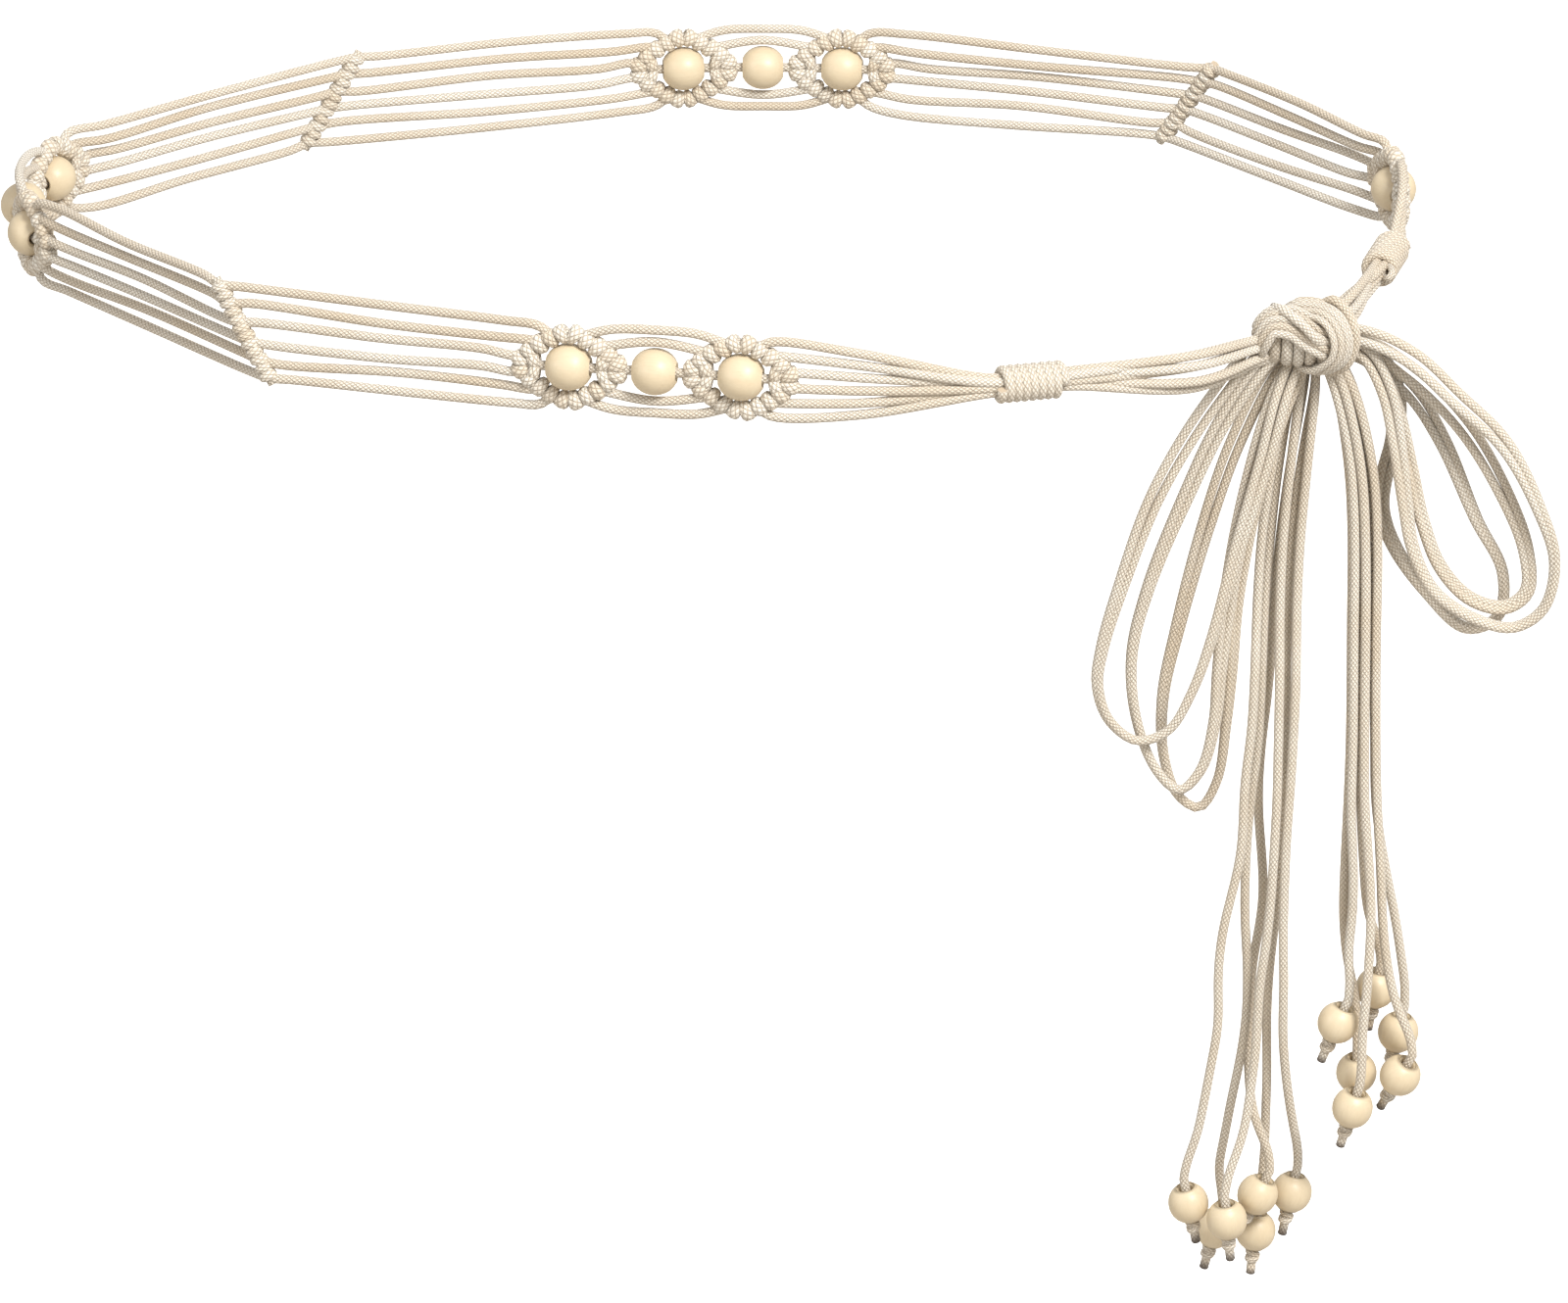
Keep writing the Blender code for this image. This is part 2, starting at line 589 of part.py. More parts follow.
def whipping(name, whip, finish):
    """Turns of cord wound round the bundle, as one ribbed sleeve."""
    inner = BUNDLE / 2 + GAP
    outer = inner + WHIP_TURN
    valley = inner + WHIP_TURN * 0.6
    turn = WHIPPING_LENGTH / WHIP_TURNS
    profile = [(inner, 0.0)]
    for i in range(WHIP_TURNS):
        profile += [(valley, i * turn), (outer, (i + 0.5) * turn)]
    profile += [(valley, WHIPPING_LENGTH), (inner, WHIPPING_LENGTH)]
    bm = bmesh.new()
    verts = [bm.verts.new((r, 0.0, z - WHIPPING_LENGTH / 2)) for r, z in profile]
    edges = [bm.edges.new((verts[i - 1], verts[i])) for i in range(len(verts))]
    bmesh.ops.spin(bm, geom=verts + edges, cent=(0, 0, 0), axis=(0, 0, 1), angle=2 * math.pi,
                   steps=BUNDLE_SIDES, use_merge=True)
    bmesh.ops.remove_doubles(bm, verts=bm.verts, dist=1e-6)
    bmesh.ops.recalc_face_normals(bm, faces=bm.faces)
    made = new_object(name, bm, finish)
    made.matrix_world = along_axis(waist_point(whip), along(whip))
    return made


def from_knot(place):
    return KNOT_AT + Vector(place) * MM


def knot_bodies(grow):
    """The knot's core and the two bands wound over it, all grown by a clearance."""
    core = bmesh.new()
    size = Matrix.Diagonal((*(half + grow for half in KNOT_CORE), 1.0))
    size.translation = KNOT_AT
    bmesh.ops.create_uvsphere(core, u_segments=10, v_segments=6, radius=1.0, matrix=size)
    bodies = [core]
    for band in (CROSSING_BAND, TURNING_BAND):
        path = resample(spline([from_knot(p) for p in band], ROUTE_STEPS), len(band))
        facing = [(p - KNOT_AT) * -1.0 for p in path]
        path[0] += (path[0] - path[1]).normalized() * grow
        path[-1] += (path[-1] - path[-2]).normalized() * grow
        size = (BAND_WIDTH / 2 + grow, BAND_THICKNESS / 2 + grow)
        bodies.append(tube(path, [size] * len(path), BUNDLE_SIDES, facing))
    return bodies


def bow_loop(name, strips, finish, knot_clearance, bundle_clearance):
    """A loop of the bow: cords lie in pairs that all run into the knot, in front of its tail."""
    bodies = []
    for i, strip in enumerate(strips):
        dense = spline([from_knot(p) for p in strip], ROUTE_STEPS)
        path = resample(dense, LOOP_STATIONS)
        size = (CORD * 0.95, CORD * 0.5)
        way = FRONT + UP * CORD_TURN * (i + 0.4)
        bodies.append(tube(path, [size] * len(path), STRIP_SIDES, [way] * len(path)))
    made = fused(name, bodies, finish, knot_clearance)
    cut_clear(made, bundle_clearance)


def bundle_body(rows, grow):
    """The head of a tail, where its six cords still hang as one bundle, grown by a clearance."""
    path = [from_knot(row[:3]) for row in rows]
    path[0] += (path[0] - path[1]).normalized() * grow
    sizes = [(row[3] * MM + grow, row[4] * MM + grow) for row in rows]
    return tube(path, sizes, BUNDLE_SIDES, [FRONT] * len(path))


def below(path, level):
    """The part of a falling path that lies below a level."""
    for i in range(len(path) - 1):
        if path[i + 1].z < level:
            share = (level - path[i].z) / (path[i + 1].z - path[i].z)
            return [path[i].lerp(path[i + 1], share)] + path[i + 1:]
    return path


def tail(name, bead_name, row, bundle_end, cord_finish, wood):
    """One tail cord with a drilled bead held by the knot in its end."""
    route, bead_middle, end_way = row
    centre = from_knot(bead_middle)
    heading = Vector(end_way).normalized()
    half = TAIL_BEAD_LENGTH / 2
    entry = centre - heading * (half + CORD)
    hanging = spline([from_knot(p) for p in route] + [entry - heading * CORD, entry], ROUTE_STEPS)
    hanging = below(hanging, bundle_end - GAP)
    count = max(3, round(path_length(hanging) / (TAIL_SPACING * CORD)) + 1)
    points = [(p, 1.0) for p in resample(hanging, count)]
    swell = STOPPER / CORD
    start = half + GAP
    for offset, share in ((0.0, 1.0), (0.5, swell), (1.0, 1.0)):
        points.append((centre + heading * (start + STOPPER_LENGTH * offset), share))
    points.append((centre + heading * (start + STOPPER_LENGTH + CUT_END), 1.0))
    curve = bpy.data.curves.new(name, "CURVE")
    curve.dimensions = "3D"
    curve.bevel_depth = CORD_RADIUS
    curve.bevel_resolution = 2
    curve.use_fill_caps = True
    line = curve.splines.new("POLY")
    line.points.add(len(points) - 1)
    for point, (place, share) in zip(line.points, points):
        point.co = (*place, 1.0)
        point.radius = share
    curve.materials.append(cord_finish)
    bpy.context.scene.collection.objects.link(bpy.data.objects.new(name, curve))
    bead(bead_name, TAIL_BEAD_DIAMETER, TAIL_BEAD_LENGTH, along_axis(centre, heading), wood)


def build():
    clear_scene()
    cotton = material("cotton_cord", COTTON)
    wood = material("natural_wood", WOOD)

    motifs = (("front", FRONT_MOTIF_AT), ("left", LEFT_MOTIF_AT), ("back", BACK_MOTIF_AT))
    for side, middle in motifs:
        motif_net(f"{side}_motif_net", middle, cotton)
        for i in range(3):
            s = middle + (i - 1) * MOTIF_STEP
            bead(f"{side}_motif_bead_{i + 1}", BEAD_DIAMETER, BEAD_LENGTH, along_axis(waist_point(s), along(s)), wood)
    flower_net("right_flower_net", FLOWER_AT, cotton)
    place = along_axis(waist_point(FLOWER_AT), along(FLOWER_AT))
    bead("right_flower_bead", BEAD_DIAMETER, BEAD_LENGTH, place, wood)

    ladder("front_left_ladder", FRONT_MOTIF_AT + MOTIF_STEP, FRONT_BAR_AT, LEFT_MOTIF_AT - MOTIF_STEP, cotton)
    ladder("back_left_ladder", LEFT_MOTIF_AT + MOTIF_STEP, LEFT_BAR_AT, BACK_MOTIF_AT - MOTIF_STEP, cotton)
    ladder("back_right_ladder", BACK_MOTIF_AT + MOTIF_STEP, RIGHT_BAR_AT, FLOWER_AT, cotton)

    fused("bow_knot", knot_bodies(0.0), cotton)
    knot_clearance = helper_collection("knot_clearance", knot_bodies(GAP))
    lead("front_lead", FRONT_MOTIF_AT - MOTIF_STEP, FRONT_WHIP_AT, -1, 0.0, FRONT_LEAD_STRAYS, cotton, knot_clearance)
    lead("right_lead", FLOWER_AT, RIGHT_WHIP_AT, 1, GIRTH, RIGHT_LEAD_STRAYS, cotton, knot_clearance)
    whipping("front_whipping", FRONT_WHIP_AT, cotton)
    whipping("right_whipping", RIGHT_WHIP_AT, cotton)
    halves = (("left", LEFT_LOOP, LEFT_BUNDLE, LEFT_TAIL), ("right", RIGHT_LOOP, RIGHT_BUNDLE, RIGHT_TAIL))
    for side, strips, bundle, rows in halves:
        made = new_object(f"tail_{side}_bundle", bundle_body(bundle, 0.0), cotton)
        cut_clear(made, knot_clearance)
        bundle_clearance = helper_collection(f"bundle_clearance_{side}", [bundle_body(bundle, GAP)])
        bow_loop(f"bow_loop_{side}", strips, cotton, knot_clearance, bundle_clearance)
        bundle_end = KNOT_AT.z + bundle[-1][2] * MM
        for i, row in enumerate(rows):
            tail(f"tail_{side}_cord_{i + 1}", f"tail_{side}_bead_{i + 1}", row, bundle_end, cotton, wood)


build()
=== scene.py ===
"""Looks of the knotted cord belt: braided cotton cords, hitched flowers and turned wooden beads.

Sizes are metres in the part's own frame. The band is laid out flat first: s runs
round the waist from the bow, h runs up the band and t points out of it.
"""
import math
import random

import bmesh
import bpy
from mathutils import Matrix, Vector


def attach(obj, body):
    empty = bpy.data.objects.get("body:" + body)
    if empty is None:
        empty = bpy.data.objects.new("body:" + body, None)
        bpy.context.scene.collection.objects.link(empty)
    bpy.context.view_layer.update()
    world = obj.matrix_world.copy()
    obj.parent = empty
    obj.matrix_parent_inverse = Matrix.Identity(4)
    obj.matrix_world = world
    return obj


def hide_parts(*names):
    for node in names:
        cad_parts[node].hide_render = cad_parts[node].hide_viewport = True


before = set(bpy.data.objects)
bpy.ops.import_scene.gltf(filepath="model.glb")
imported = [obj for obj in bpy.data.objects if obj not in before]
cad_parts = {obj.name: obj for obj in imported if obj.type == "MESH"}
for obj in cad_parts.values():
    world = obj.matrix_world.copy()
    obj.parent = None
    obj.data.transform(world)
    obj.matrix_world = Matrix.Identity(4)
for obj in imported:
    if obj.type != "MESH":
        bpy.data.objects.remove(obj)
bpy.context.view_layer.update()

MM = 0.001
UP = Vector((0.0, 0.0, 1.0))
FRONT = Vector((0.0, -1.0, 0.0))
BODY = "root"
CHANCE = random.Random(7)

# Cord and wooden beads
CORD = 0.0025
CORD_RADIUS = CORD / 2
GAP = 0.0003
BEAD_DIAMETER = 0.012
BEAD_LENGTH = 0.0112
TAIL_BEAD_DIAMETER = 0.0108
TAIL_BEAD_LENGTH = 0.0100
BORE = 0.0037

# Band of six cords with flowers, bars and whippings
CORD_COUNT = 6
CORD_PITCH = 0.0045
FLOWER_PINCH = 0.93
FLOWER_LENGTH = 0.0315
FLOWER_HEIGHT = 0.0238
FLOWER_ROUNDNESS = 1.32
HITCH = 0.0054
PETALS = 20
BAR_SLANT = 0.0150
BAR_WRAPS = 12
WHIP_RADIUS = 0.0037
WHIP_TURNS = 8
LINK_HEIGHT = 0.0108

# Lengths round the waist, from the bow along the front and back to the bow
FRONT_LEAD = 0.0767
WHIPPING_LENGTH = 0.0190
FRONT_GATHER = 0.0476
FRONT_RUN = 0.0715
LEFT_FRONT_RUN = 0.0798
LEFT_BACK_RUN = 0.0803
BACK_LEFT_RUN = 0.0839
BACK_RIGHT_RUN = 0.0832
RIGHT_RUN = 0.0721
RIGHT_GATHER = 0.0206
RIGHT_LEAD = 0.0440
BOW_DROP = 0.0080

# Tail ends
STOPPER_LENGTH = 0.0034
CUT_END = 0.0036
SINGED_LENGTH = 0.0022

# Plan of the belt seen from above, as shares of its half length: where, x, y, drop
OUTLINE = (
    ("bow", 0.833, -0.382, 1.00),
    ("front whipping", 0.434, -0.640, 0.20),
    ("front motif", -0.077, -0.621, 0.00),
    ("front left bar", -0.648, -0.467, 0.00),
    ("left motif, near end", -0.945, -0.132, 0.00),
    ("left motif", -1.000, 0.033, 0.00),
    ("left motif, far end", -0.940, 0.209, 0.00),
    ("back left bar", -0.571, 0.516, 0.00),
    ("back motif", 0.071, 0.665, 0.00),
    ("back right bar", 0.714, 0.500, 0.00),
    ("right flower", 0.989, 0.132, 0.00),
    ("right whipping", 0.962, -0.132, 0.40),
)

# Places of the six cords in a tight bundle, as shares of the cord: up, out
BUNDLE_SLOTS = ((0.95, -0.35), (0.62, 0.62), (0.10, -0.62), (-0.25, 0.50), (-0.72, -0.50), (-1.02, 0.35))
# Places of the six cords half way along each lead to the bow, in cord diameters: up, out
FRONT_LEAD_SLOTS = ((1.15, 0.3), (0.75, -0.7), (0.05, 0.55), (-0.45, -0.55), (-1.7, 0.4), (-2.7, -0.4))
RIGHT_LEAD_SLOTS = ((1.6, 0.4), (0.75, -0.7), (0.3, 0.75), (-0.35, -0.5), (-0.9, 0.55), (-1.3, -0.4))

# Bands of the bow knot, millimetres from the middle of the knot: x, y, z
CROSSING_BAND = ((-11, -1, -1), (-12.2, -7, 2.9), (-9.1, -8.8, 8.4), (-3.2, -9.6, 8.4), (1.6, -10, 5.3), (5.5, -9.5, 2.9),
                 (9, -6, 0))
TURNING_BAND = ((-6, 1, 7), (-3.2, -3, 10), (2.9, -4.5, 10.6), (7.5, -7.5, 9.1), (10.2, -9.5, 4), (9.6, -9.5, -1.5),
                (6, -7, -5.7), (2, -2, -6.5))
EDGE_STRAND = ((-8, -4, 10.4), (-6, -8, 11.2), (-3, -10.8, 10), (-0.2, -11.8, 7.7), (2.2, -11.8, 5), (4.5, -9.5, 2))
SIDE_STRAND = ((5, 0, 10), (7.5, -3, 12), (10.8, -5.5, 9.6), (12.8, -7.5, 5.2), (12.6, -7.5, 0), (10.4, -6, -5), (6.5, -2, -8))

# Paired cords of each bow loop, millimetres from the middle of the knot: x, y, z
LEFT_LOOP = (
    ((-1, 0, -1), (-10.5, -5, 0.5), (-23, -7, -14), (-37, -8, -39), (-46, -8, -65.5), (-50.5, -7, -83),
     (-51.5, -6, -93.5), (-48.5, -5, -103.5), (-41, -4, -110), (-33, -4.6, -107), (-27, -5.2, -96), (-22, -5.4, -80.5),
     (-16, -5.4, -56), (-9.5, -5, -31.5), (-5, -4, -12.5), (-0.5, 0, -2.5)),
    ((-1, 0, -1.5), (-7.5, -4, -2), (-19.5, -4, -19.5), (-29.5, -3.5, -42.5), (-38.5, -3, -67.5), (-42.5, -2, -87),
     (-41, -1, -105.5), (-35.5, -1, -120), (-29.5, -1, -125.5), (-24, -1, -120), (-20.5, -1.5, -106),
     (-19.5, -2, -90.5), (-17.5, -2, -68.5), (-13, -2, -41), (-6, -2.5, -13.5), (0, 0, -3)),
    ((-1, 0, -2), (-6.5, 0, -6.5), (-16.5, 1, -28), (-24, 2, -53), (-30.5, 3, -81), (-34, 4, -101),
     (-33.5, 5, -118), (-29.5, 5, -129.5), (-24, 5, -133), (-19.5, 4, -125), (-17.5, 2, -108), (-16.5, 1, -92.5),
     (-15.5, 0, -70.5), (-11, -1, -40), (-5, -1.8, -17.5), (0.5, 0, -4)),
)
RIGHT_LOOP = (
    ((0, 0, 0.5), (14, -3, 2.5), (27.5, -5, -3), (39, -6, -13.5), (52, -6, -26.5), (61.5, -6, -44.5),
     (66, -5, -59.5), (63.5, -4, -73), (56, -3, -78.5), (46, -3, -76), (35.5, -3, -68.5), (29.5, -3, -56.5),
     (27, -3, -43), (24.5, -3, -26.5), (21.5, -3, -13), (16, -2, -3), (8, -1, 1)),
    ((0, 0, -0.5), (14.5, 0, -1), (28, 0, -9), (42, 0, -23), (52.5, 0, -40), (59.5, 0, -57.5),
     (60, 0, -70), (54, 0, -74.5), (45, 0, -72), (37, 0, -63), (32, 0, -49.5), (28.5, 0, -34.5),
     (24.5, 0, -19.5), (17.5, 0, -4.5), (8, 0, 1)),
    ((0, 0, -1), (14.5, 4, -5), (27.5, 5, -15.5), (36.5, 6, -30), (46, 6, -52), (53.5, 6, -67),
     (52.5, 6, -79.5), (44.5, 6, -82.5), (33.5, 6, -72), (25, 7.5, -60), (21.5, 8, -50), (22, 8, -40.5),
     (24.5, 8, -29.5), (24, 6, -16), (19, 3, -5.5), (8, 1, 1)),
)

# Tail cords, millimetres from the middle of the knot: route, middle of the bead, way the end points
LEFT_TAIL = (
    (((-1, 2, -3), (-2.5, 3.5, -9), (-6.5, 3.5, -32.5), (-9, 3.5, -52.5), (-10, 2.5, -70.5), (-10.5, -1, -92.5),
      (-11, -1, -109), (-12.5, -1.5, -123), (-13, -2, -142.5), (-15, -2, -153.5), (-17.5, -2, -165.5),
      (-18.5, -2, -179.5), (-18, -2, -192), (-19.5, -2, -202.5), (-21.5, -2, -215.5), (-23.5, -2, -227)),
     (-25, -1, -245.5), (2.5, 1, -13)),
    (((0, 3.5, -3), (-1, 6.5, -9), (-4.8, 6.5, -34), (-7, 6, -58.5), (-8, 4.5, -75), (-8.5, 2, -94), (-9, 2, -113.5),
      (-10.5, 2, -127.5), (-11.5, 2, -144.5), (-11.5, 2, -163.5), (-10.5, 2.5, -177), (-10.5, 2.5, -193),
      (-12, 3, -206), (-14, 4.5, -218.5), (-15.5, 7, -231), (-16.8, 10, -243)),
     (-17, 11, -259), (-2.5, 0, -10)),
    (((1, 4, -3), (1.6, 7.2, -9), (-2.2, 7.4, -38), (-4.5, 7, -60), (-5.5, 6.5, -76.5), (-6.5, 5, -98.5),
      (-8, 5.5, -115), (-8.5, 5.5, -132), (-7, 5.5, -149), (-6.5, 6, -160), (-7.5, 6.2, -168.5), (-9, 6.2, -179),
      (-9.5, 6.2, -194.5), (-9.5, 5, -208.5), (-8, 2, -221.5)),
     (-6.5, 1, -244), (-4.5, 0, -10)),
    (((0.5, 2, -3), (0.3, 3.3, -9), (-2.2, 3, -35), (-3.8, 3, -57), (-4.2, 1.8, -76), (-4, -1, -95), (-4, -1.5, -112),
      (-4, -2, -128.5), (-4.5, -2, -144), (-5, -2, -157), (-6, -2, -169.5), (-7.5, -2, -182), (-8, -2.5, -199),
      (-9.5, -3, -213.5), (-11, -4.5, -224)),
     (-15, -7, -247.5), (1, 0.5, -10)),
    (((2.5, 4, -3), (4.2, 6.3, -9), (0.6, 6.2, -36.5), (-1.5, 6, -58.5), (-2, 5, -80.5), (-2, 3, -95), (-1.8, 2.5, -112),
      (-1.5, 2.5, -133), (-2.5, 2.5, -147.5), (-3.2, 2.5, -161.5), (-4.5, 3.5, -177), (-5, 4.5, -193),
      (-4.5, 5.5, -209), (-4.5, 7, -225.5), (-4.5, 8.7, -238), (-5.2, 8.9, -244.5)),
     (-6.5, 6.5, -257.5), (-1, -1, -10)),
    (((2.5, 2, -3), (3.8, 3.6, -9), (2.2, 3.5, -35), (0.7, 3, -57), (0.2, 1.5, -78), (0.3, -1, -95), (0, -1.5, -108),
      (-0.5, -2, -123), (-1.2, -2, -137), (-1.5, -2, -154), (-1.5, -2, -168), (-1, -2, -182.5), (-1, -1, -195.5),
      (1, 2, -214.5), (3.5, 5.5, -229)),
     (3, 7.5, -246.5), (-2, -1, -10)),
)
RIGHT_TAIL = (
    (((4, 0, -3), (7, 0, -9), (12.8, 0, -32), (14.5, -0.3, -52), (15, -0.8, -80), (15.5, -1.5, -112),
      (15.5, -1.5, -131.5), (16.5, -2, -148.5), (16.5, -2, -162.5), (15.5, -2, -173)),
     (13.5, -2, -192), (-3.7, 0.5, -10)),
    (((4, 2, -3), (7.5, 2.6, -9), (12.5, 2.8, -34), (14, 2.6, -53), (14.5, 2.2, -80), (15, 1.8, -112),
      (14.8, 2, -132), (14.5, 2.5, -148), (14.5, 3, -163), (16, 4.5, -177), (18.8, 4.8, -190)),
     (19, 2, -208.5), (0, 1, -10)),
    (((5.5, 2.5, -3), (9.8, 3.4, -9.5), (15.3, 3.6, -33), (17, 3.4, -57), (17.5, 3.2, -80), (18, 3, -112),
      (18.3, 3, -131.5), (19.5, 3.2, -148.5), (21, 4, -163)),
     (24, 8, -186.5), (-1.5, 0, -10)),
    (((7, 2, -3), (12, 2.6, -10), (18, 3, -35), (20, 3, -59), (20.5, 3, -82), (21.5, 2.8, -114.5),
      (22.2, 3, -131.5), (25, 4, -148.5), (28.5, 4, -165.5), (30.5, 4, -178)),
     (30, 5, -198), (-2, 0, -10)),
    (((7, 0, -3), (12, 0, -10), (18.6, 0.2, -34), (20.6, 0, -58), (20.8, -0.5, -80), (21.5, -1, -113),
      (22.3, -1.2, -130), (23.5, -2, -146), (24.5, -3, -163), (26, -4, -175), (29, -5.5, -187)),
     (30, -6, -205.5), (-4, 2.5, -9)),
    (((5.5, -0.5, -3), (9.5, -0.6, -9.5), (15.7, -0.6, -35), (17.5, -0.8, -59.5), (18, -1.4, -81.5), (18.5, -2, -114),
      (19, -2.2, -130), (20.5, -3.2, -146.5), (21.3, -4.5, -159), (21, -6, -170.5), (20.4, -7.5, -182.5),
      (19.4, -8.5, -196)),
     (17.5, -8, -214), (-2.2, 1, -9)),
)

# Fineness of the curves
OUTLINE_STEPS = 16
ROUTE_STEPS = 8
SIDES = 10
WRAP_STATIONS = 14
WRAP_SIDES = 8
RING_SPACING = 0.002
TAIL_SPACING = 0.0025


# Camera

def set_camera():
    data = bpy.data.cameras.new("photo_camera")
    data.lens = 200.97
    data.sensor_width = 36.0
    data.clip_end = 50.0
    made = bpy.data.objects.new("photo_camera", data)
    made.location = (0.0188, -2.16449, 0.78613)
    made.rotation_euler = (math.radians(67.2), 0.0, 0.0)
    bpy.context.scene.collection.objects.link(made)
    bpy.context.scene.camera = made


# Curves

def spline(points, steps, closed=False):
    """Points along a smooth curve through the given ones, evenly timed by their spacing."""
    count = len(points)
    spans = count if closed else count - 1
    dense = []
    for i in range(spans):
        b = points[i]
        c = points[(i + 1) % count]
        a = points[i - 1] if closed or i > 0 else 2 * b - c
        d = points[(i + 2) % count] if closed or i + 2 < count else 2 * c - b
        ab = math.sqrt((b - a).length)
        bc = math.sqrt((c - b).length)
        cd = math.sqrt((d - c).length)
        for step in range(steps):
            t = step / steps
            into = (b - a) / ab - (c - a) / (ab + bc) + (c - b) / bc
            out = (c - b) / bc - (d - b) / (bc + cd) + (d - c) / cd
            tangent_b = into * bc
            tangent_c = out * bc
            h1 = 2 * t ** 3 - 3 * t ** 2 + 1
            h2 = t ** 3 - 2 * t ** 2 + t
            h3 = t ** 3 - t ** 2
            dense.append(h1 * b + h2 * tangent_b + (1 - h1) * c + h3 * tangent_c)
    if not closed:
        dense.append(points[-1].copy())
    return dense


def path_length(path):
    return sum((b - a).length for a, b in zip(path, path[1:]))


def resample(dense, count):
    """The given number of points, evenly spaced along a dense path from end to end."""
    lengths = [0.0]
    for a, b in zip(dense, dense[1:]):
        lengths.append(lengths[-1] + (b - a).length)
    spaced = []
    j = 0
    for i in range(count):
        target = lengths[-1] * i / (count - 1)
        while j < len(dense) - 2 and lengths[j + 1] < target:
            j += 1
        share = (target - lengths[j]) / (lengths[j + 1] - lengths[j])
        spaced.append(dense[j].lerp(dense[j + 1], min(max(share, 0.0), 1.0)))
    return spaced


def smooth(points, spacing=RING_SPACING):
    dense = spline(points, ROUTE_STEPS)
    return resample(dense, max(4, round(path_length(dense) / spacing) + 1))


# Stations round the waist
FLOWER_REACH = FLOWER_LENGTH / 2
BEAD_GAP = GAP + CORD_RADIUS * 0.2
MOTIF_STEP = FLOWER_REACH + BEAD_LENGTH / 2 + BEAD_GAP
MOTIF_HALF = MOTIF_STEP + FLOWER_REACH
FRONT_WHIP_AT = FRONT_LEAD + WHIPPING_LENGTH / 2
FRONT_MOTIF_AT = FRONT_LEAD + WHIPPING_LENGTH + FRONT_GATHER + MOTIF_HALF
FRONT_BAR_AT = FRONT_MOTIF_AT + MOTIF_HALF + FRONT_RUN
LEFT_MOTIF_AT = FRONT_BAR_AT + LEFT_FRONT_RUN + MOTIF_HALF
LEFT_BAR_AT = LEFT_MOTIF_AT + MOTIF_HALF + LEFT_BACK_RUN
BACK_MOTIF_AT = LEFT_BAR_AT + BACK_LEFT_RUN + MOTIF_HALF
RIGHT_BAR_AT = BACK_MOTIF_AT + MOTIF_HALF + BACK_RIGHT_RUN
FLOWER_AT = RIGHT_BAR_AT + RIGHT_RUN + FLOWER_REACH
RIGHT_WHIP_AT = FLOWER_AT + FLOWER_REACH + RIGHT_GATHER + WHIPPING_LENGTH / 2
GIRTH = RIGHT_WHIP_AT + WHIPPING_LENGTH / 2 + RIGHT_LEAD


def plan_of_waist():
    """The closed centre line of the band and its running length, at the belt's real girth."""
    rows = [Vector((x, y, 0.0)) for where, x, y, drop in OUTLINE]
    unit = spline(rows, OUTLINE_STEPS, closed=True)
    scale = GIRTH / path_length(unit + unit[:1])
    drops = [Vector((drop, 0.0, 0.0)) for where, x, y, drop in OUTLINE]
    level = []
    for i in range(len(drops)):
        for step in range(OUTLINE_STEPS):
            share = step / OUTLINE_STEPS
            ease = share * share * (3 - 2 * share)
            level.append(drops[i].lerp(drops[(i + 1) % len(drops)], ease).x)
    line = [p * scale - UP * BOW_DROP * d for p, d in zip(unit, level)]
    line.append(line[0].copy())
    running = [0.0]
    for a, b in zip(line, line[1:]):
        running.append(running[-1] + (b - a).length)
    return line, [r * GIRTH / running[-1] for r in running]


WAIST_LINE, WAIST_RUN = plan_of_waist()
KNOT_AT = WAIST_LINE[0].copy()


def waist_point(s):
    s = s % GIRTH
    low, high = 0, len(WAIST_RUN) - 1
    while high - low > 1:
        mid = (low + high) // 2
        if WAIST_RUN[mid] <= s:
            low = mid
        else:
            high = mid
    share = (s - WAIST_RUN[low]) / (WAIST_RUN[high] - WAIST_RUN[low])
    return WAIST_LINE[low].lerp(WAIST_LINE[high], share)


def along(s):
    """Direction of the band at s, smoothed over a bead's length."""
    return (waist_point(s + BEAD_LENGTH / 2) - waist_point(s - BEAD_LENGTH / 2)).normalized()


def outward(s):
    heading = along(s)
    return UP.cross(Vector((heading.x, heading.y, 0.0))).normalized()


def on_band(s, h, t=0.0):
    return waist_point(s) + UP * h + outward(s) * t


def from_knot(place):
    return KNOT_AT + Vector(place) * MM


# Strands

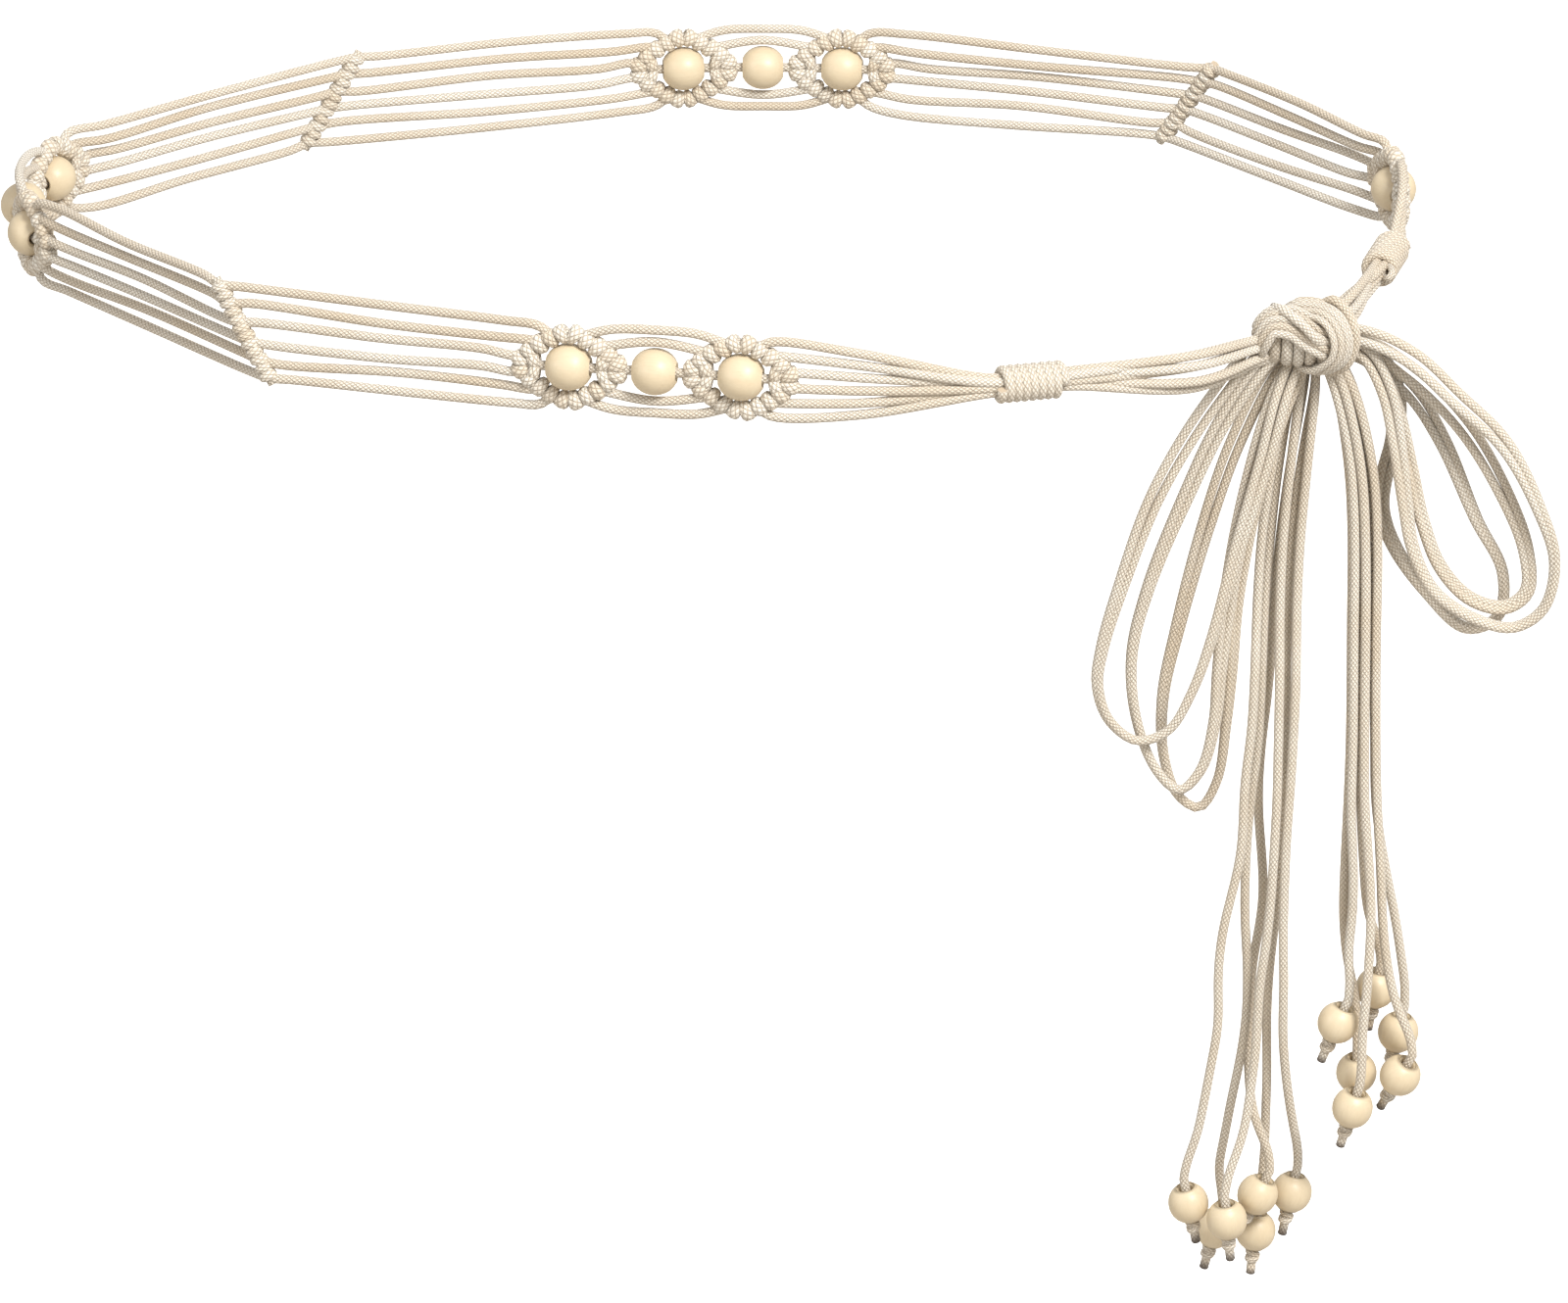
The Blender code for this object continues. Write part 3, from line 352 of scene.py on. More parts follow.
class Skein:
    """One piece made of many strands, each a tube with its length and girth in its own map."""

    def __init__(self):
        self.bm = bmesh.new()
        self.map = self.bm.loops.layers.uv.new("strand")
        self.tint = self.bm.verts.layers.float.new("tint")
        self.singe = self.bm.verts.layers.float.new("singe")

    def strand(self, path, radii, ups=None, closed=False, sides=SIDES, singed=0.0):
        """A tube along path; radii is one (across, up) pair or one for each point."""
        bm = self.bm
        count = len(path)
        if not isinstance(radii, list):
            radii = [radii] * count
        made = bmesh.ops.create_grid(bm, x_segments=sides, y_segments=count - 1, size=1.0)
        grid = {}
        for v in made["verts"]:
            i = round((v.co.x + 1) / 2 * sides)
            j = round((v.co.y + 1) / 2 * (count - 1))
            grid[v] = (i, j)
        lengths = [0.0]
        for a, b in zip(path, path[1:]):
            lengths.append(lengths[-1] + (b - a).length)
        frames = self.frames(path, ups, closed)
        tint = CHANCE.uniform(-1.0, 1.0)
        offset = CHANCE.uniform(0.0, 1.0)
        for v, (i, j) in grid.items():
            angle = 2 * math.pi * i / sides
            side, up = frames[j]
            across, rise = radii[j]
            v.co = path[j] + side * math.cos(angle) * across + up * math.sin(angle) * rise
            v[self.tint] = tint
            if singed:
                v[self.singe] = max(0.0, 1.0 - (lengths[-1] - lengths[j]) / singed)
        for face in {f for v in made["verts"] for f in v.link_faces}:
            face.smooth = True
            for loop in face.loops:
                i, j = grid[loop.vert]
                loop[self.map].uv = (i / sides, (lengths[j] + offset * CORD) / CORD)
        place = {key: v for v, key in grid.items()}
        weld = {place[sides, j]: place[0, j] for j in range(count)}
        if closed:
            last = count - 1
            weld = {place[sides, j]: place[0, j] for j in range(last)}
            weld.update({place[i, last]: place[i % sides, 0] for i in range(sides + 1)})
        ends = []
        bmesh.ops.weld_verts(bm, targetmap=weld)
        if not closed:
            for j in (0, count - 1):
                rim = {place[i, j] for i in range(sides)}
                ends.append([e for e in {e for v in rim for e in v.link_edges} if set(e.verts) <= rim])
            for rim in ends:
                bmesh.ops.edgeloop_fill(bm, edges=rim)

    @staticmethod
    def frames(path, ups, closed):
        """Across and up directions at each point, free of needless twist unless ups are given."""
        count = len(path)
        result = []
        up = None
        for j, centre in enumerate(path):
            before = path[j - 1] if j > 0 else (path[-2] if closed else centre)
            after = path[j + 1] if j + 1 < count else (path[1] if closed else centre)
            heading = (after - before).normalized()
            if ups:
                up = ups[j]
            elif up is None:
                up = UP if abs(heading.z) < 0.8 else FRONT
            up = (up - heading * up.dot(heading)).normalized()
            result.append((heading.cross(up), up))
        return result

    def finish(self, name, *nodes):
        """The piece as an object that takes the place of the named solids."""
        bmesh.ops.recalc_face_normals(self.bm, faces=self.bm.faces)
        made = piece(name, self.bm, COTTON)
        for node in nodes:
            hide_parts(node)
        return made


def piece(name, bm, finish):
    mesh = bpy.data.meshes.new(name)
    bm.to_mesh(mesh)
    bm.free()
    mesh.materials.append(finish)
    made = bpy.data.objects.new(name, mesh)
    bpy.context.scene.collection.objects.link(made)
    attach(made, BODY)
    return made


ROUND = (CORD_RADIUS, CORD_RADIUS)
WRAP_THICKNESS = 0.00112
WRAP_REACH = HITCH / 2 - WRAP_THICKNESS
WRAP_DEPTH = 0.00135
WRAP_SPREAD = 0.16
WRAP_TILT = math.radians(14)
WRAP_JITTER = math.radians(9)
WRAP_UNEVEN = 0.09


def wrap(skein, centre, axis, away, half_length, reach=WRAP_REACH, tilt=WRAP_TILT):
    """One turn of cord round a leader: axis runs along the leader, away points out of the flower."""
    through = axis.cross(away).normalized()
    lean = tilt + CHANCE.uniform(-WRAP_JITTER, WRAP_JITTER)
    axis = (axis * math.cos(lean) + away * math.sin(lean)).normalized()
    away = through.cross(axis).normalized()
    reach *= CHANCE.uniform(1 - WRAP_UNEVEN, 1 + WRAP_UNEVEN)
    half_length *= CHANCE.uniform(1 - WRAP_UNEVEN, 1 + WRAP_UNEVEN)
    path, radii, ups = [], [], []
    for k in range(WRAP_STATIONS + 1):
        angle = 2 * math.pi * (k % WRAP_STATIONS) / WRAP_STATIONS
        path.append(centre + away * math.cos(angle) * reach + through * math.sin(angle) * WRAP_DEPTH)
        radii.append((WRAP_THICKNESS, half_length * (1 + WRAP_SPREAD * math.cos(angle))))
        ups.append(axis)
    skein.strand(path, radii, ups, closed=True, sides=WRAP_SIDES)


# Flowers, bars and links

RING_LONG = FLOWER_LENGTH / 2 - HITCH / 2
RING_HIGH = FLOWER_HEIGHT / 2 - HITCH / 2


def ring_place(angle):
    power = 2 / FLOWER_ROUNDNESS
    c, s = math.cos(angle), math.sin(angle)
    along_band = math.copysign(abs(c) ** power, c) * RING_LONG
    up_band = math.copysign(abs(s) ** power, s) * RING_HIGH
    return Vector((along_band, up_band, 0.0))


# Hitches that cross inside each end of a flower, beside its bead
TIP_HITCH_AT = 0.0088
TIP_HITCH_RISE = 0.0016
TIP_SLOPE = 0.7
TIP_REACH = 0.0016

RING_DENSE = [ring_place(2 * math.pi * i / 144) for i in range(145)]


def ring_reach(h):
    """How far the middle line of a flower's ring lies from its middle at height h."""
    h = min(abs(h), RING_HIGH)
    for a, b in zip(RING_DENSE, RING_DENSE[1:37]):
        if a.y <= h <= b.y:
            share = (h - a.y) / max(b.y - a.y, 1e-9)
            return a.x + (b.x - a.x) * share
    return 0.0


def flower(skein, middle):
    """A ring of hitches on two leaders, round a bead."""
    stations = resample(RING_DENSE, PETALS * 2 + 1)
    pitch = path_length(RING_DENSE) / PETALS
    core = [on_band(middle + p.x, p.y) for p in stations]
    skein.strand(core, (CORD_RADIUS * 0.9, CORD_RADIUS * 0.9), [outward(middle)] * len(core), closed=True)
    for k in range(PETALS):
        place = stations[2 * k + 1]
        run = stations[2 * k + 2] - stations[2 * k]
        axis = (along(middle + place.x) * run.x + UP * run.y).normalized()
        away = axis.cross(outward(middle + place.x)).normalized()
        if away.dot(UP * place.y + along(middle) * place.x) < 0:
            away.negate()
        side = 1 if place.x * place.y > 0 else -1
        wrap(skein, on_band(middle + place.x, place.y), axis, away, pitch * 0.55, tilt=WRAP_TILT * side)
    for end in (-1, 1):
        for side in (-1, 1):
            at = middle + end * TIP_HITCH_AT
            axis = (along(at) * end - UP * side * TIP_SLOPE).normalized()
            away = axis.cross(outward(at)).normalized()
            if away.dot(UP * side) < 0:
                away.negate()
            wrap(skein, on_band(at, side * TIP_HITCH_RISE), axis, away, pitch * 0.5, reach=TIP_REACH)


def bead_cord(skein, first, last, bead_places):
    """The cord through the beads, dead straight in each."""
    path = [on_band(first, 0.0)]
    for s in bead_places:
        half = along(s) * (BEAD_LENGTH / 2 + GAP)
        path += [waist_point(s) - half, waist_point(s) + half]
    path.append(on_band(last, 0.0))
    skein.strand(path, ROUND)


def band_cord(skein, places):
    skein.strand(smooth([on_band(*place) for place in places]), ROUND)


def link(skein, middle, h_foot, height, span, bow):
    """A cord from one flower of a motif to the other, above or below the bead between."""
    side = math.copysign(1.0, height)
    foot = MOTIF_STEP - ring_reach(h_foot)
    places = [(middle - foot, side * h_foot, 0.0), (middle - span, height, bow), (middle, height + side * 0.0004, bow),
              (middle + span, height, bow), (middle + foot, side * h_foot, 0.0)]
    band_cord(skein, places)


def motif(name, middle, *nodes):
    skein = Skein()
    flowers = (middle - MOTIF_STEP, middle + MOTIF_STEP)
    over_bead = BEAD_DIAMETER / 2 + GAP + CORD_RADIUS
    for place in flowers:
        flower(skein, place)
    bead_cord(skein, flowers[0] - RING_LONG, flowers[1] + RING_LONG, (flowers[0], middle, flowers[1]))
    for side in (-1, 1):
        link(skein, middle, RING_HIGH * 0.9, side * LINK_HEIGHT, MOTIF_STEP * 0.5, 0.0002 * side)
        link(skein, middle, RING_HIGH * 0.62, side * over_bead, BEAD_LENGTH * 0.42, 0.0)
    return skein.finish(name, *nodes)


def cord_height(i):
    return ((CORD_COUNT - 1) / 2 - i) * CORD_PITCH


ENTRY_HIGH = RING_HIGH * 0.84
ENTRY_RUN = 0.0036


def entry(i):
    """Height of a band cord where it enters a flower, and how far from the flower's middle."""
    h = cord_height(i) * FLOWER_PINCH
    h = math.copysign(min(abs(h), ENTRY_HIGH), h)
    return h, ring_reach(h)


WANDER = 0.0008
BAND_SHARES = (0.14, 0.5, 0.93)


def ladder(name, near_flower, bar, far_flower, *nodes):
    """Six cords between two flowers, crossed by a slanted bar of hitches."""
    skein = Skein()
    top = cord_height(0)
    for i in range(CORD_COUNT):
        h = cord_height(i)
        low, reach = entry(i)
        start = near_flower + reach
        end = far_flower - reach
        cross = bar + BAR_SLANT * h / (2 * top)
        places = [(start, low, 0.0), (start + ENTRY_RUN, low + (h - low) * 0.8, 0.0)]
        for a, b, ahead in ((start, cross, 1.0), (cross, end, -1.0)):
            for share in BAND_SHARES if ahead > 0 else tuple(1 - x for x in reversed(BAND_SHARES)):
                stray = CHANCE.uniform(-WANDER, WANDER)
                at = a + (b - a) * share
                flat = on_band(a, 0.0).lerp(on_band(b, 0.0), share)
                inward = (flat - on_band(at, 0.0)).dot(outward(at))
                places.append((at, h + stray, inward))
            if ahead > 0:
                places.append((b, h, 0.0))
        places += [(end - ENTRY_RUN, low + (h - low) * 0.8, 0.0), (end, low, 0.0)]
        band_cord(skein, places)
    half = top + GAP
    ends = [on_band(bar + BAR_SLANT * h / (2 * top), h) for h in (half + CORD_RADIUS, -half - CORD_RADIUS)]
    skein.strand([ends[0].lerp(ends[1], k / 8) for k in range(9)], ROUND)
    axis = (ends[1] - ends[0]).normalized()
    away = outward(bar).cross(axis).normalized()
    for k in range(BAR_WRAPS):
        h = half - 2 * half * (k + 0.5) / BAR_WRAPS
        centre = on_band(bar + BAR_SLANT * h / (2 * top), h)
        pitch = (ends[1] - ends[0]).length / BAR_WRAPS
        wrap(skein, centre, axis, away, pitch * 0.5, reach=WRAP_REACH * 0.92, tilt=-WRAP_TILT * 0.6)
    return skein.finish(name, *nodes)


def bundle_place(whip, offset, i):
    up, out = BUNDLE_SLOTS[i]
    centre = waist_point(whip) + along(whip) * offset
    return centre + UP * up * CORD * 0.72 + outward(whip) * out * CORD * 0.72


KNOT_REACH = 0.0125


def lead(name, flower_at, whip, side, bow, slots, tuck, *nodes):
    """Six cords gathered from a flower through a whipping and led on to the bow."""
    skein = Skein()
    reach = WHIPPING_LENGTH / 2
    half_way = (whip + side * reach + bow) / 2
    for i in range(CORD_COUNT):
        pinched = cord_height(i) * FLOWER_PINCH
        low, clear = entry(i)
        start = flower_at + side * clear
        up, out = slots[i]
        middle = on_band(half_way, up * CORD, out * CORD)
        inner_up, inner_out = BUNDLE_SLOTS[i]
        points = [on_band(start, low), on_band(start + side * ENTRY_RUN, low + (pinched - low) * 0.8)]
        points.append(on_band(start * 0.62 + whip * 0.38, pinched * 0.78))
        points += [bundle_place(whip, -side * reach * 1.1, i), bundle_place(whip, 0.0, i)]
        points += [bundle_place(whip, side * reach * 1.1, i), middle]
        points.append(on_band(bow - side * KNOT_REACH, (up + inner_up) / 2 * CORD * 0.9, out / 2 * CORD + tuck))
        points.append(on_band(bow * 0.94 + half_way * 0.06, inner_up * CORD * 0.8, inner_out * CORD * 0.8))
        skein.strand(smooth(points), ROUND)
    return skein.finish(name, *nodes)


WHIP_CORD = 0.0012
# Loose end beside the right whipping, millimetres from its middle: towards the bow, out, across
WHIP_CURL = ((7.5, 2.6, 1.0), (9.5, 3.6, 1.2), (11.6, 4.4, 1.0), (13.2, 4.2, 0.4), (12.8, 3.2, -0.6), (11.0, 2.6, -0.8))
CURL_RADIUS = 0.0009
CURL_SPACING = 0.0006


def whipping(name, whip, curl, *nodes):
    """Turns of cord wound tight round the bundle; curl adds the end that sticks out at the bow's side."""
    skein = Skein()
    heading = along(whip)
    out = outward(whip)
    rise = heading.cross(out).normalized()
    steps = 16
    wound = WHIPPING_LENGTH - CORD
    path = []
    for k in range(WHIP_TURNS * steps + 1):
        angle = 2 * math.pi * k / steps
        offset = -wound / 2 + wound * k / (WHIP_TURNS * steps)
        path.append(waist_point(whip) + heading * offset + (out * math.cos(angle) + rise * math.sin(angle)) * WHIP_RADIUS)
    skein.strand(path, (WHIP_CORD, WHIP_CORD * 1.08), [heading] * len(path))
    if curl:
        places = [(off * heading + side * out + up * rise) * MM + waist_point(whip) for off, side, up in WHIP_CURL]
        skein.strand(smooth(places, CURL_SPACING), (CURL_RADIUS, CURL_RADIUS))
    return skein.finish(name, *nodes)


# Bow

# Strands of a band of the knot, millimetres from its middle line: across, out
BAND_OFFSETS = ((-3.5, -0.9), (-1.8, -0.1), (0.0, 0.25), (1.8, -0.1), (3.5, -0.9), (-1.6, -1.7), (1.6, -1.7))
BAND_STRAND = (0.00112, 0.00092)


def knot(name, *nodes):
    """The knot of the bow: two bands of cords wound over each other."""
    skein = Skein()
    for band in (CROSSING_BAND, TURNING_BAND):
        middle_line = smooth([from_knot(p) for p in band], 0.0012)
        for across, rise in BAND_OFFSETS:
            path = []
            for j, p in enumerate(middle_line):
                before = middle_line[max(j - 1, 0)]
                after = middle_line[min(j + 1, len(middle_line) - 1)]
                radial = (p - KNOT_AT).normalized()
                wide = (after - before).normalized().cross(radial).normalized()
                path.append(p + wide * across * MM + radial * rise * MM)
            skein.strand(path, BAND_STRAND)
    for line in (EDGE_STRAND, SIDE_STRAND):
        skein.strand(smooth([from_knot(p) for p in line], 0.0012), ROUND)
    for x in (-7.5, -4.5, -1.5, 1.5, 4.5, 7.5):
        shrink = math.sqrt(1 - (x / 13) ** 2)
        path = []
        for k in range(17):
            angle = 2 * math.pi * (k % 16) / 16
            path.append(from_knot((x, -2.5 + 6.0 * shrink * math.cos(angle), 2.2 + 7.0 * shrink * math.sin(angle))))
        skein.strand(path, (CORD_RADIUS * 1.1, CORD_RADIUS * 1.2), [Vector((1.0, 0.0, 0.0))] * 17, closed=True)
    return skein.finish(name, *nodes)


LOOP_SPLAY = 0.0012
LOOP_CLOSE = 0.0013


def loop_cord(strip, which, count):
    """Middle line of one of the two cords of a pair, spread apart where the loop is widest."""
    middle_line = resample(spline([from_knot(p) for p in strip], ROUTE_STEPS), count)
    path = []
    phase = CHANCE.uniform(0.0, 1.0)
    for j, p in enumerate(middle_line):
        share = j / (count - 1)
        before = middle_line[max(j - 1, 0)]
        after = middle_line[min(j + 1, count - 1)]
        wide = (after - before).normalized().cross(FRONT).normalized()
        apart = LOOP_CLOSE + LOOP_SPLAY * math.sin(math.pi * share) * math.sin(math.pi * (share * 1.5 + phase))
        path.append(p + wide * which * apart + FRONT * which * 0.0005 * math.sin(2 * math.pi * share + phase))
    return path


LOOP_POINTS = 120


def bow_loop(side, strips, node):
    for i, strip in enumerate(strips):
        for which in (-1, 1):
            skein = Skein()
            path = loop_cord(strip, which, LOOP_POINTS)
            skein.strand(path, ROUND)
            number = 2 * i + (1 if which < 0 else 2)
            made = skein.finish(f"bow_loop_{side}_cord_{number}", node)


# Tails

BEAD_SPIN = 40


def turned_bead(name, diameter, length, centre, heading, node):
    """A drilled wooden bead, turned about the bore, with its arrises eased."""
    bore, outer, half = BORE / 2, diameter / 2, length / 2
    flat = bore * 1.45
    profile = [(bore, -half * 0.82), (bore, 0.0), (bore, half * 0.82), (bore * 1.12, half * 0.93), (flat, half)]
    arc = [math.radians(a) for a in (66, 54, 42, 30, 18, 6, -6, -18, -30, -42, -54, -66)]
    squeeze = half / (outer * math.sin(arc[0])) * 0.985
    profile += [(outer * math.cos(a) ** 0.86, outer * math.sin(a) * squeeze) for a in arc]
    profile += [(flat, -half), (bore * 1.12, -half * 0.93)]
    bm = bmesh.new()
    verts = [bm.verts.new((r, 0.0, z)) for r, z in profile]
    edges = [bm.edges.new((verts[i - 1], verts[i])) for i in range(len(verts))]
    bmesh.ops.spin(bm, geom=verts + edges, cent=(0, 0, 0), axis=(0, 0, 1), angle=2 * math.pi,
                   steps=BEAD_SPIN, use_merge=True)
    bmesh.ops.remove_doubles(bm, verts=bm.verts, dist=1e-6)
    turned = bm.verts.layers.float_vector.new("turned")
    shift = Vector((CHANCE.uniform(0, 1), CHANCE.uniform(0, 1), CHANCE.uniform(0, 1))) * 0.5
    for v in bm.verts:
        v[turned] = v.co + shift
    place = heading.to_track_quat("Z", "Y").to_matrix().to_4x4() @ Matrix.Rotation(CHANCE.uniform(0, 6.28), 4, "Z")
    place.translation = centre
    bmesh.ops.transform(bm, matrix=place, verts=bm.verts)
    bmesh.ops.recalc_face_normals(bm, faces=bm.faces)
    for face in bm.faces:
        face.smooth = True
    made = piece(name, bm, WOOD)
    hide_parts(node)
    return made


def stopper_turn(skein, centre, heading, lean):
    """One turn of the overhand knot under a tail bead."""
    side = heading.orthogonal().normalized()
    other = heading.cross(side)
    axis = (heading + side * lean).normalized()
    first = axis.orthogonal().normalized()
    second = axis.cross(first)
    path = []
    for k in range(WRAP_STATIONS + 1):
        angle = 2 * math.pi * (k % WRAP_STATIONS) / WRAP_STATIONS
        path.append(centre + (first * math.cos(angle) + second * math.sin(angle)) * CORD_RADIUS * 0.85)
    skein.strand(path, (CORD_RADIUS * 0.85, CORD_RADIUS * 0.8), [axis] * len(path), closed=True, sides=WRAP_SIDES)


TAIL_EASING = 6


def tail(side, number, row):
    """One tail cord with its bead, the knot that stops it and the singed end."""
    route, bead_middle, end_way = row
    node = f"tail_{side}_cord_{number}"
    centre = from_knot(bead_middle)
    heading = Vector(end_way).normalized()
    half = TAIL_BEAD_LENGTH / 2
    entry = centre - heading * (half + CORD)
    dense = spline([from_knot(p) for p in route] + [entry - heading * CORD, entry], ROUTE_STEPS)
    path = resample(dense, round(path_length(dense) / TAIL_SPACING) + 1)
    for turn in range(TAIL_EASING):
        path[1:-1] = [a * 0.25 + b * 0.5 + c * 0.25 for a, b, c in zip(path, path[1:], path[2:])]
    start = half + GAP
    full = start + STOPPER_LENGTH + CUT_END
    burnt = SINGED_LENGTH * CHANCE.uniform(0.7, 1.5)
    tips = [full - burnt * share for share in (1.0, 0.6, 0.35, 0.15, 0.0)]
    path += [centre + heading * reach for reach in [-half * 0.4, half * 0.4, start] + tips]
    skein = Skein()
    shrink = [1.0] * (len(path) - 3) + [0.96, 1.04, 0.86]
    skein.strand(path, [(CORD_RADIUS * k, CORD_RADIUS * k) for k in shrink], singed=burnt)
    made = skein.finish(f"{node}_braid", node, f"tail_{side}_bundle")
    bead = turned_bead(f"tail_{side}_bead_{number}_turned", TAIL_BEAD_DIAMETER, TAIL_BEAD_LENGTH, centre, heading,
                       f"tail_{side}_bead_{number}")
    knots = Skein()
    stopper_turn(knots, centre + heading * (start + STOPPER_LENGTH * 0.32), heading, 0.55)
    stopper_turn(knots, centre + heading * (start + STOPPER_LENGTH * 0.68), heading, -0.6)
    stopper = knots.finish(f"{node}_knot", node)


# Surfaces

def node(tree, kind, inputs=(), **settings):
    made = tree.nodes.new(kind)
    for key, value in settings.items():
        setattr(made, key, value)
    for key, value in dict(inputs).items():
        if isinstance(value, bpy.types.NodeSocket):
            tree.links.new(value, made.inputs[key])
        else:
            made.inputs[key].default_value = value
    return made


def maths(tree, operation, *values):
    made = node(tree, "ShaderNodeMath", {i: v for i, v in enumerate(values)}, operation=operation)
    return made.outputs[0]


def blend(tree, share, low, high, kind="MIX"):
    """Colour low turned to high by share."""
    made = tree.nodes.new("ShaderNodeMix")
    made.data_type = "RGBA"
    made.blend_type = kind
    for socket, value in ((made.inputs[0], share), (made.inputs[6], low), (made.inputs[7], high)):
        if isinstance(value, bpy.types.NodeSocket):
            tree.links.new(value, socket)
        else:
            socket.default_value = value
    return made.outputs[2]


def plait_group():
    """Fine diagonal plait of a round braided cord, from its own map; its second output masks the grooves for painted
    shade.
    """
    tree = bpy.data.node_groups.new("braided_cord", "ShaderNodeTree")
    face = tree.interface
    face.new_socket("Carriers", in_out="INPUT", socket_type="NodeSocketFloat").default_value = 7.0
    face.new_socket("Picks", in_out="INPUT", socket_type="NodeSocketFloat").default_value = 1.7
    face.new_socket("Height", in_out="OUTPUT", socket_type="NodeSocketFloat")
    face.new_socket("Groove_shade", in_out="OUTPUT", socket_type="NodeSocketFloat")
    enter = tree.nodes.new("NodeGroupInput")
    leave = tree.nodes.new("NodeGroupOutput")
    strand_map = node(tree, "ShaderNodeUVMap", uv_map="strand")
    parts = node(tree, "ShaderNodeSeparateXYZ", {0: strand_map.outputs[0]})
    round_cord = maths(tree, "MULTIPLY", parts.outputs[0], enter.outputs["Carriers"])
    down_cord = maths(tree, "MULTIPLY", parts.outputs[1], enter.outputs["Picks"])
    left = maths(tree, "MULTIPLY", maths(tree, "ADD", round_cord, down_cord), math.pi)
    right = maths(tree, "MULTIPLY", maths(tree, "SUBTRACT", round_cord, down_cord), math.pi)
    check = maths(tree, "MULTIPLY", maths(tree, "SINE", left), maths(tree, "SINE", right))
    bump = maths(tree, "POWER", maths(tree, "ABSOLUTE", check), 0.55)
    over = maths(tree, "GREATER_THAN", check, 0.0)
    left_yarn = maths(tree, "SINE", maths(tree, "MULTIPLY", left, 5.0))
    right_yarn = maths(tree, "SINE", maths(tree, "MULTIPLY", right, 5.0))
    yarn = maths(tree, "ADD", maths(tree, "MULTIPLY", left_yarn, over),
                 maths(tree, "MULTIPLY", right_yarn, maths(tree, "SUBTRACT", 1.0, over)))
    height = maths(tree, "ADD", bump, maths(tree, "MULTIPLY", yarn, 0.10))
    tree.links.new(height, leave.inputs["Height"])
    # Painted shade mask: highest in the grooves between the plait's yarns
    tree.links.new(maths(tree, "SUBTRACT", 1.0, bump), leave.inputs["Groove_shade"])
    return tree


def cotton_material():
    made = bpy.data.materials.new("waxed_cotton")
    made.use_nodes = True
    tree = made.node_tree
    shader = tree.nodes["Principled BSDF"]
    plait = node(tree, "ShaderNodeGroup", node_tree=plait_group())
    place = node(tree, "ShaderNodeTexCoord").outputs["Object"]
    mottle = node(tree, "ShaderNodeTexNoise", {"Vector": place, "Scale": 55.0, "Detail": 3.0}).outputs["Fac"]
    fuzz = node(tree, "ShaderNodeTexNoise", {"Vector": place, "Scale": 2600.0, "Detail": 2.0}).outputs["Fac"]
    tint = node(tree, "ShaderNodeAttribute", attribute_name="tint").outputs["Fac"]
    singe = node(tree, "ShaderNodeAttribute", attribute_name="singe").outputs["Fac"]
    warm = maths(tree, "MULTIPLY_ADD", tint, 0.38, maths(tree, "MULTIPLY_ADD", mottle, 1.3, -0.2))
    colour = blend(tree, warm, (*COTTON_PALE, 1.0), (*COTTON_WARM, 1.0))
    # Painted shade: the cord colour is darkened in the plait's grooves, where shade would fall
    colour = blend(tree, maths(tree, "MULTIPLY", plait.outputs["Groove_shade"], 0.8), colour, (*COTTON_GROOVE_SHADE, 1.0))
    burnt = maths(tree, "POWER", singe, 0.55)
    colour = blend(tree, burnt, colour, (*SINGED, 1.0))
    tree.links.new(colour, shader.inputs["Base Color"])
    rough = maths(tree, "MULTIPLY_ADD", fuzz, 0.25, 0.46)
    tree.links.new(rough, shader.inputs["Roughness"])
    shader.inputs["Sheen Weight"].default_value = 0.25
    shader.inputs["Sheen Roughness"].default_value = 0.4
    relief = maths(tree, "MULTIPLY_ADD", fuzz, 0.25, plait.outputs["Height"])
    bump = node(tree, "ShaderNodeBump", {"Strength": 1.0, "Distance": 0.0003, "Height": relief})
    tree.links.new(bump.outputs["Normal"], shader.inputs["Normal"])
    return made


def wood_material():
    made = bpy.data.materials.new("turned_wood")
    made.use_nodes = True
    tree = made.node_tree
    shader = tree.nodes["Principled BSDF"]
    turned = node(tree, "ShaderNodeAttribute", attribute_name="turned").outputs["Vector"]
    stretched = node(tree, "ShaderNodeVectorMath", {0: turned, 1: (1.0, 1.0, 0.16)}, operation="MULTIPLY").outputs[0]
    bands = node(tree, "ShaderNodeTexNoise", {"Vector": stretched, "Scale": 420.0, "Detail": 3.0, "Distortion": 0.4})
    streaks = node(tree, "ShaderNodeTexNoise", {"Vector": stretched, "Scale": 2400.0, "Detail": 2.0})
    broad = node(tree, "ShaderNodeTexNoise", {"Vector": turned, "Scale": 90.0, "Detail": 1.0})
    colour = blend(tree, bands.outputs["Fac"], (*WOOD_PALE, 1.0), (*WOOD_HONEY, 1.0))
    dark = maths(tree, "MULTIPLY", maths(tree, "POWER", streaks.outputs["Fac"], 3.0), 0.45)
    colour = blend(tree, dark, colour, (*WOOD_STREAK, 1.0))
    shade = maths(tree, "MULTIPLY_ADD", broad.outputs["Fac"], 0.3, -0.05)
    colour = blend(tree, shade, colour, (*WOOD_PALE, 1.0))
    tree.links.new(colour, shader.inputs["Base Color"])
    tree.links.new(maths(tree, "MULTIPLY_ADD", streaks.outputs["Fac"], 0.16, 0.34), shader.inputs["Roughness"])
    bump = node(tree, "ShaderNodeBump", {"Strength": 0.25, "Distance": 0.00005, "Height": streaks.outputs["Fac"]})
    tree.links.new(bump.outputs["Normal"], shader.inputs["Normal"])
    return made


COTTON_PALE = (0.92, 0.87, 0.77)
COTTON_WARM = (0.75, 0.64, 0.49)
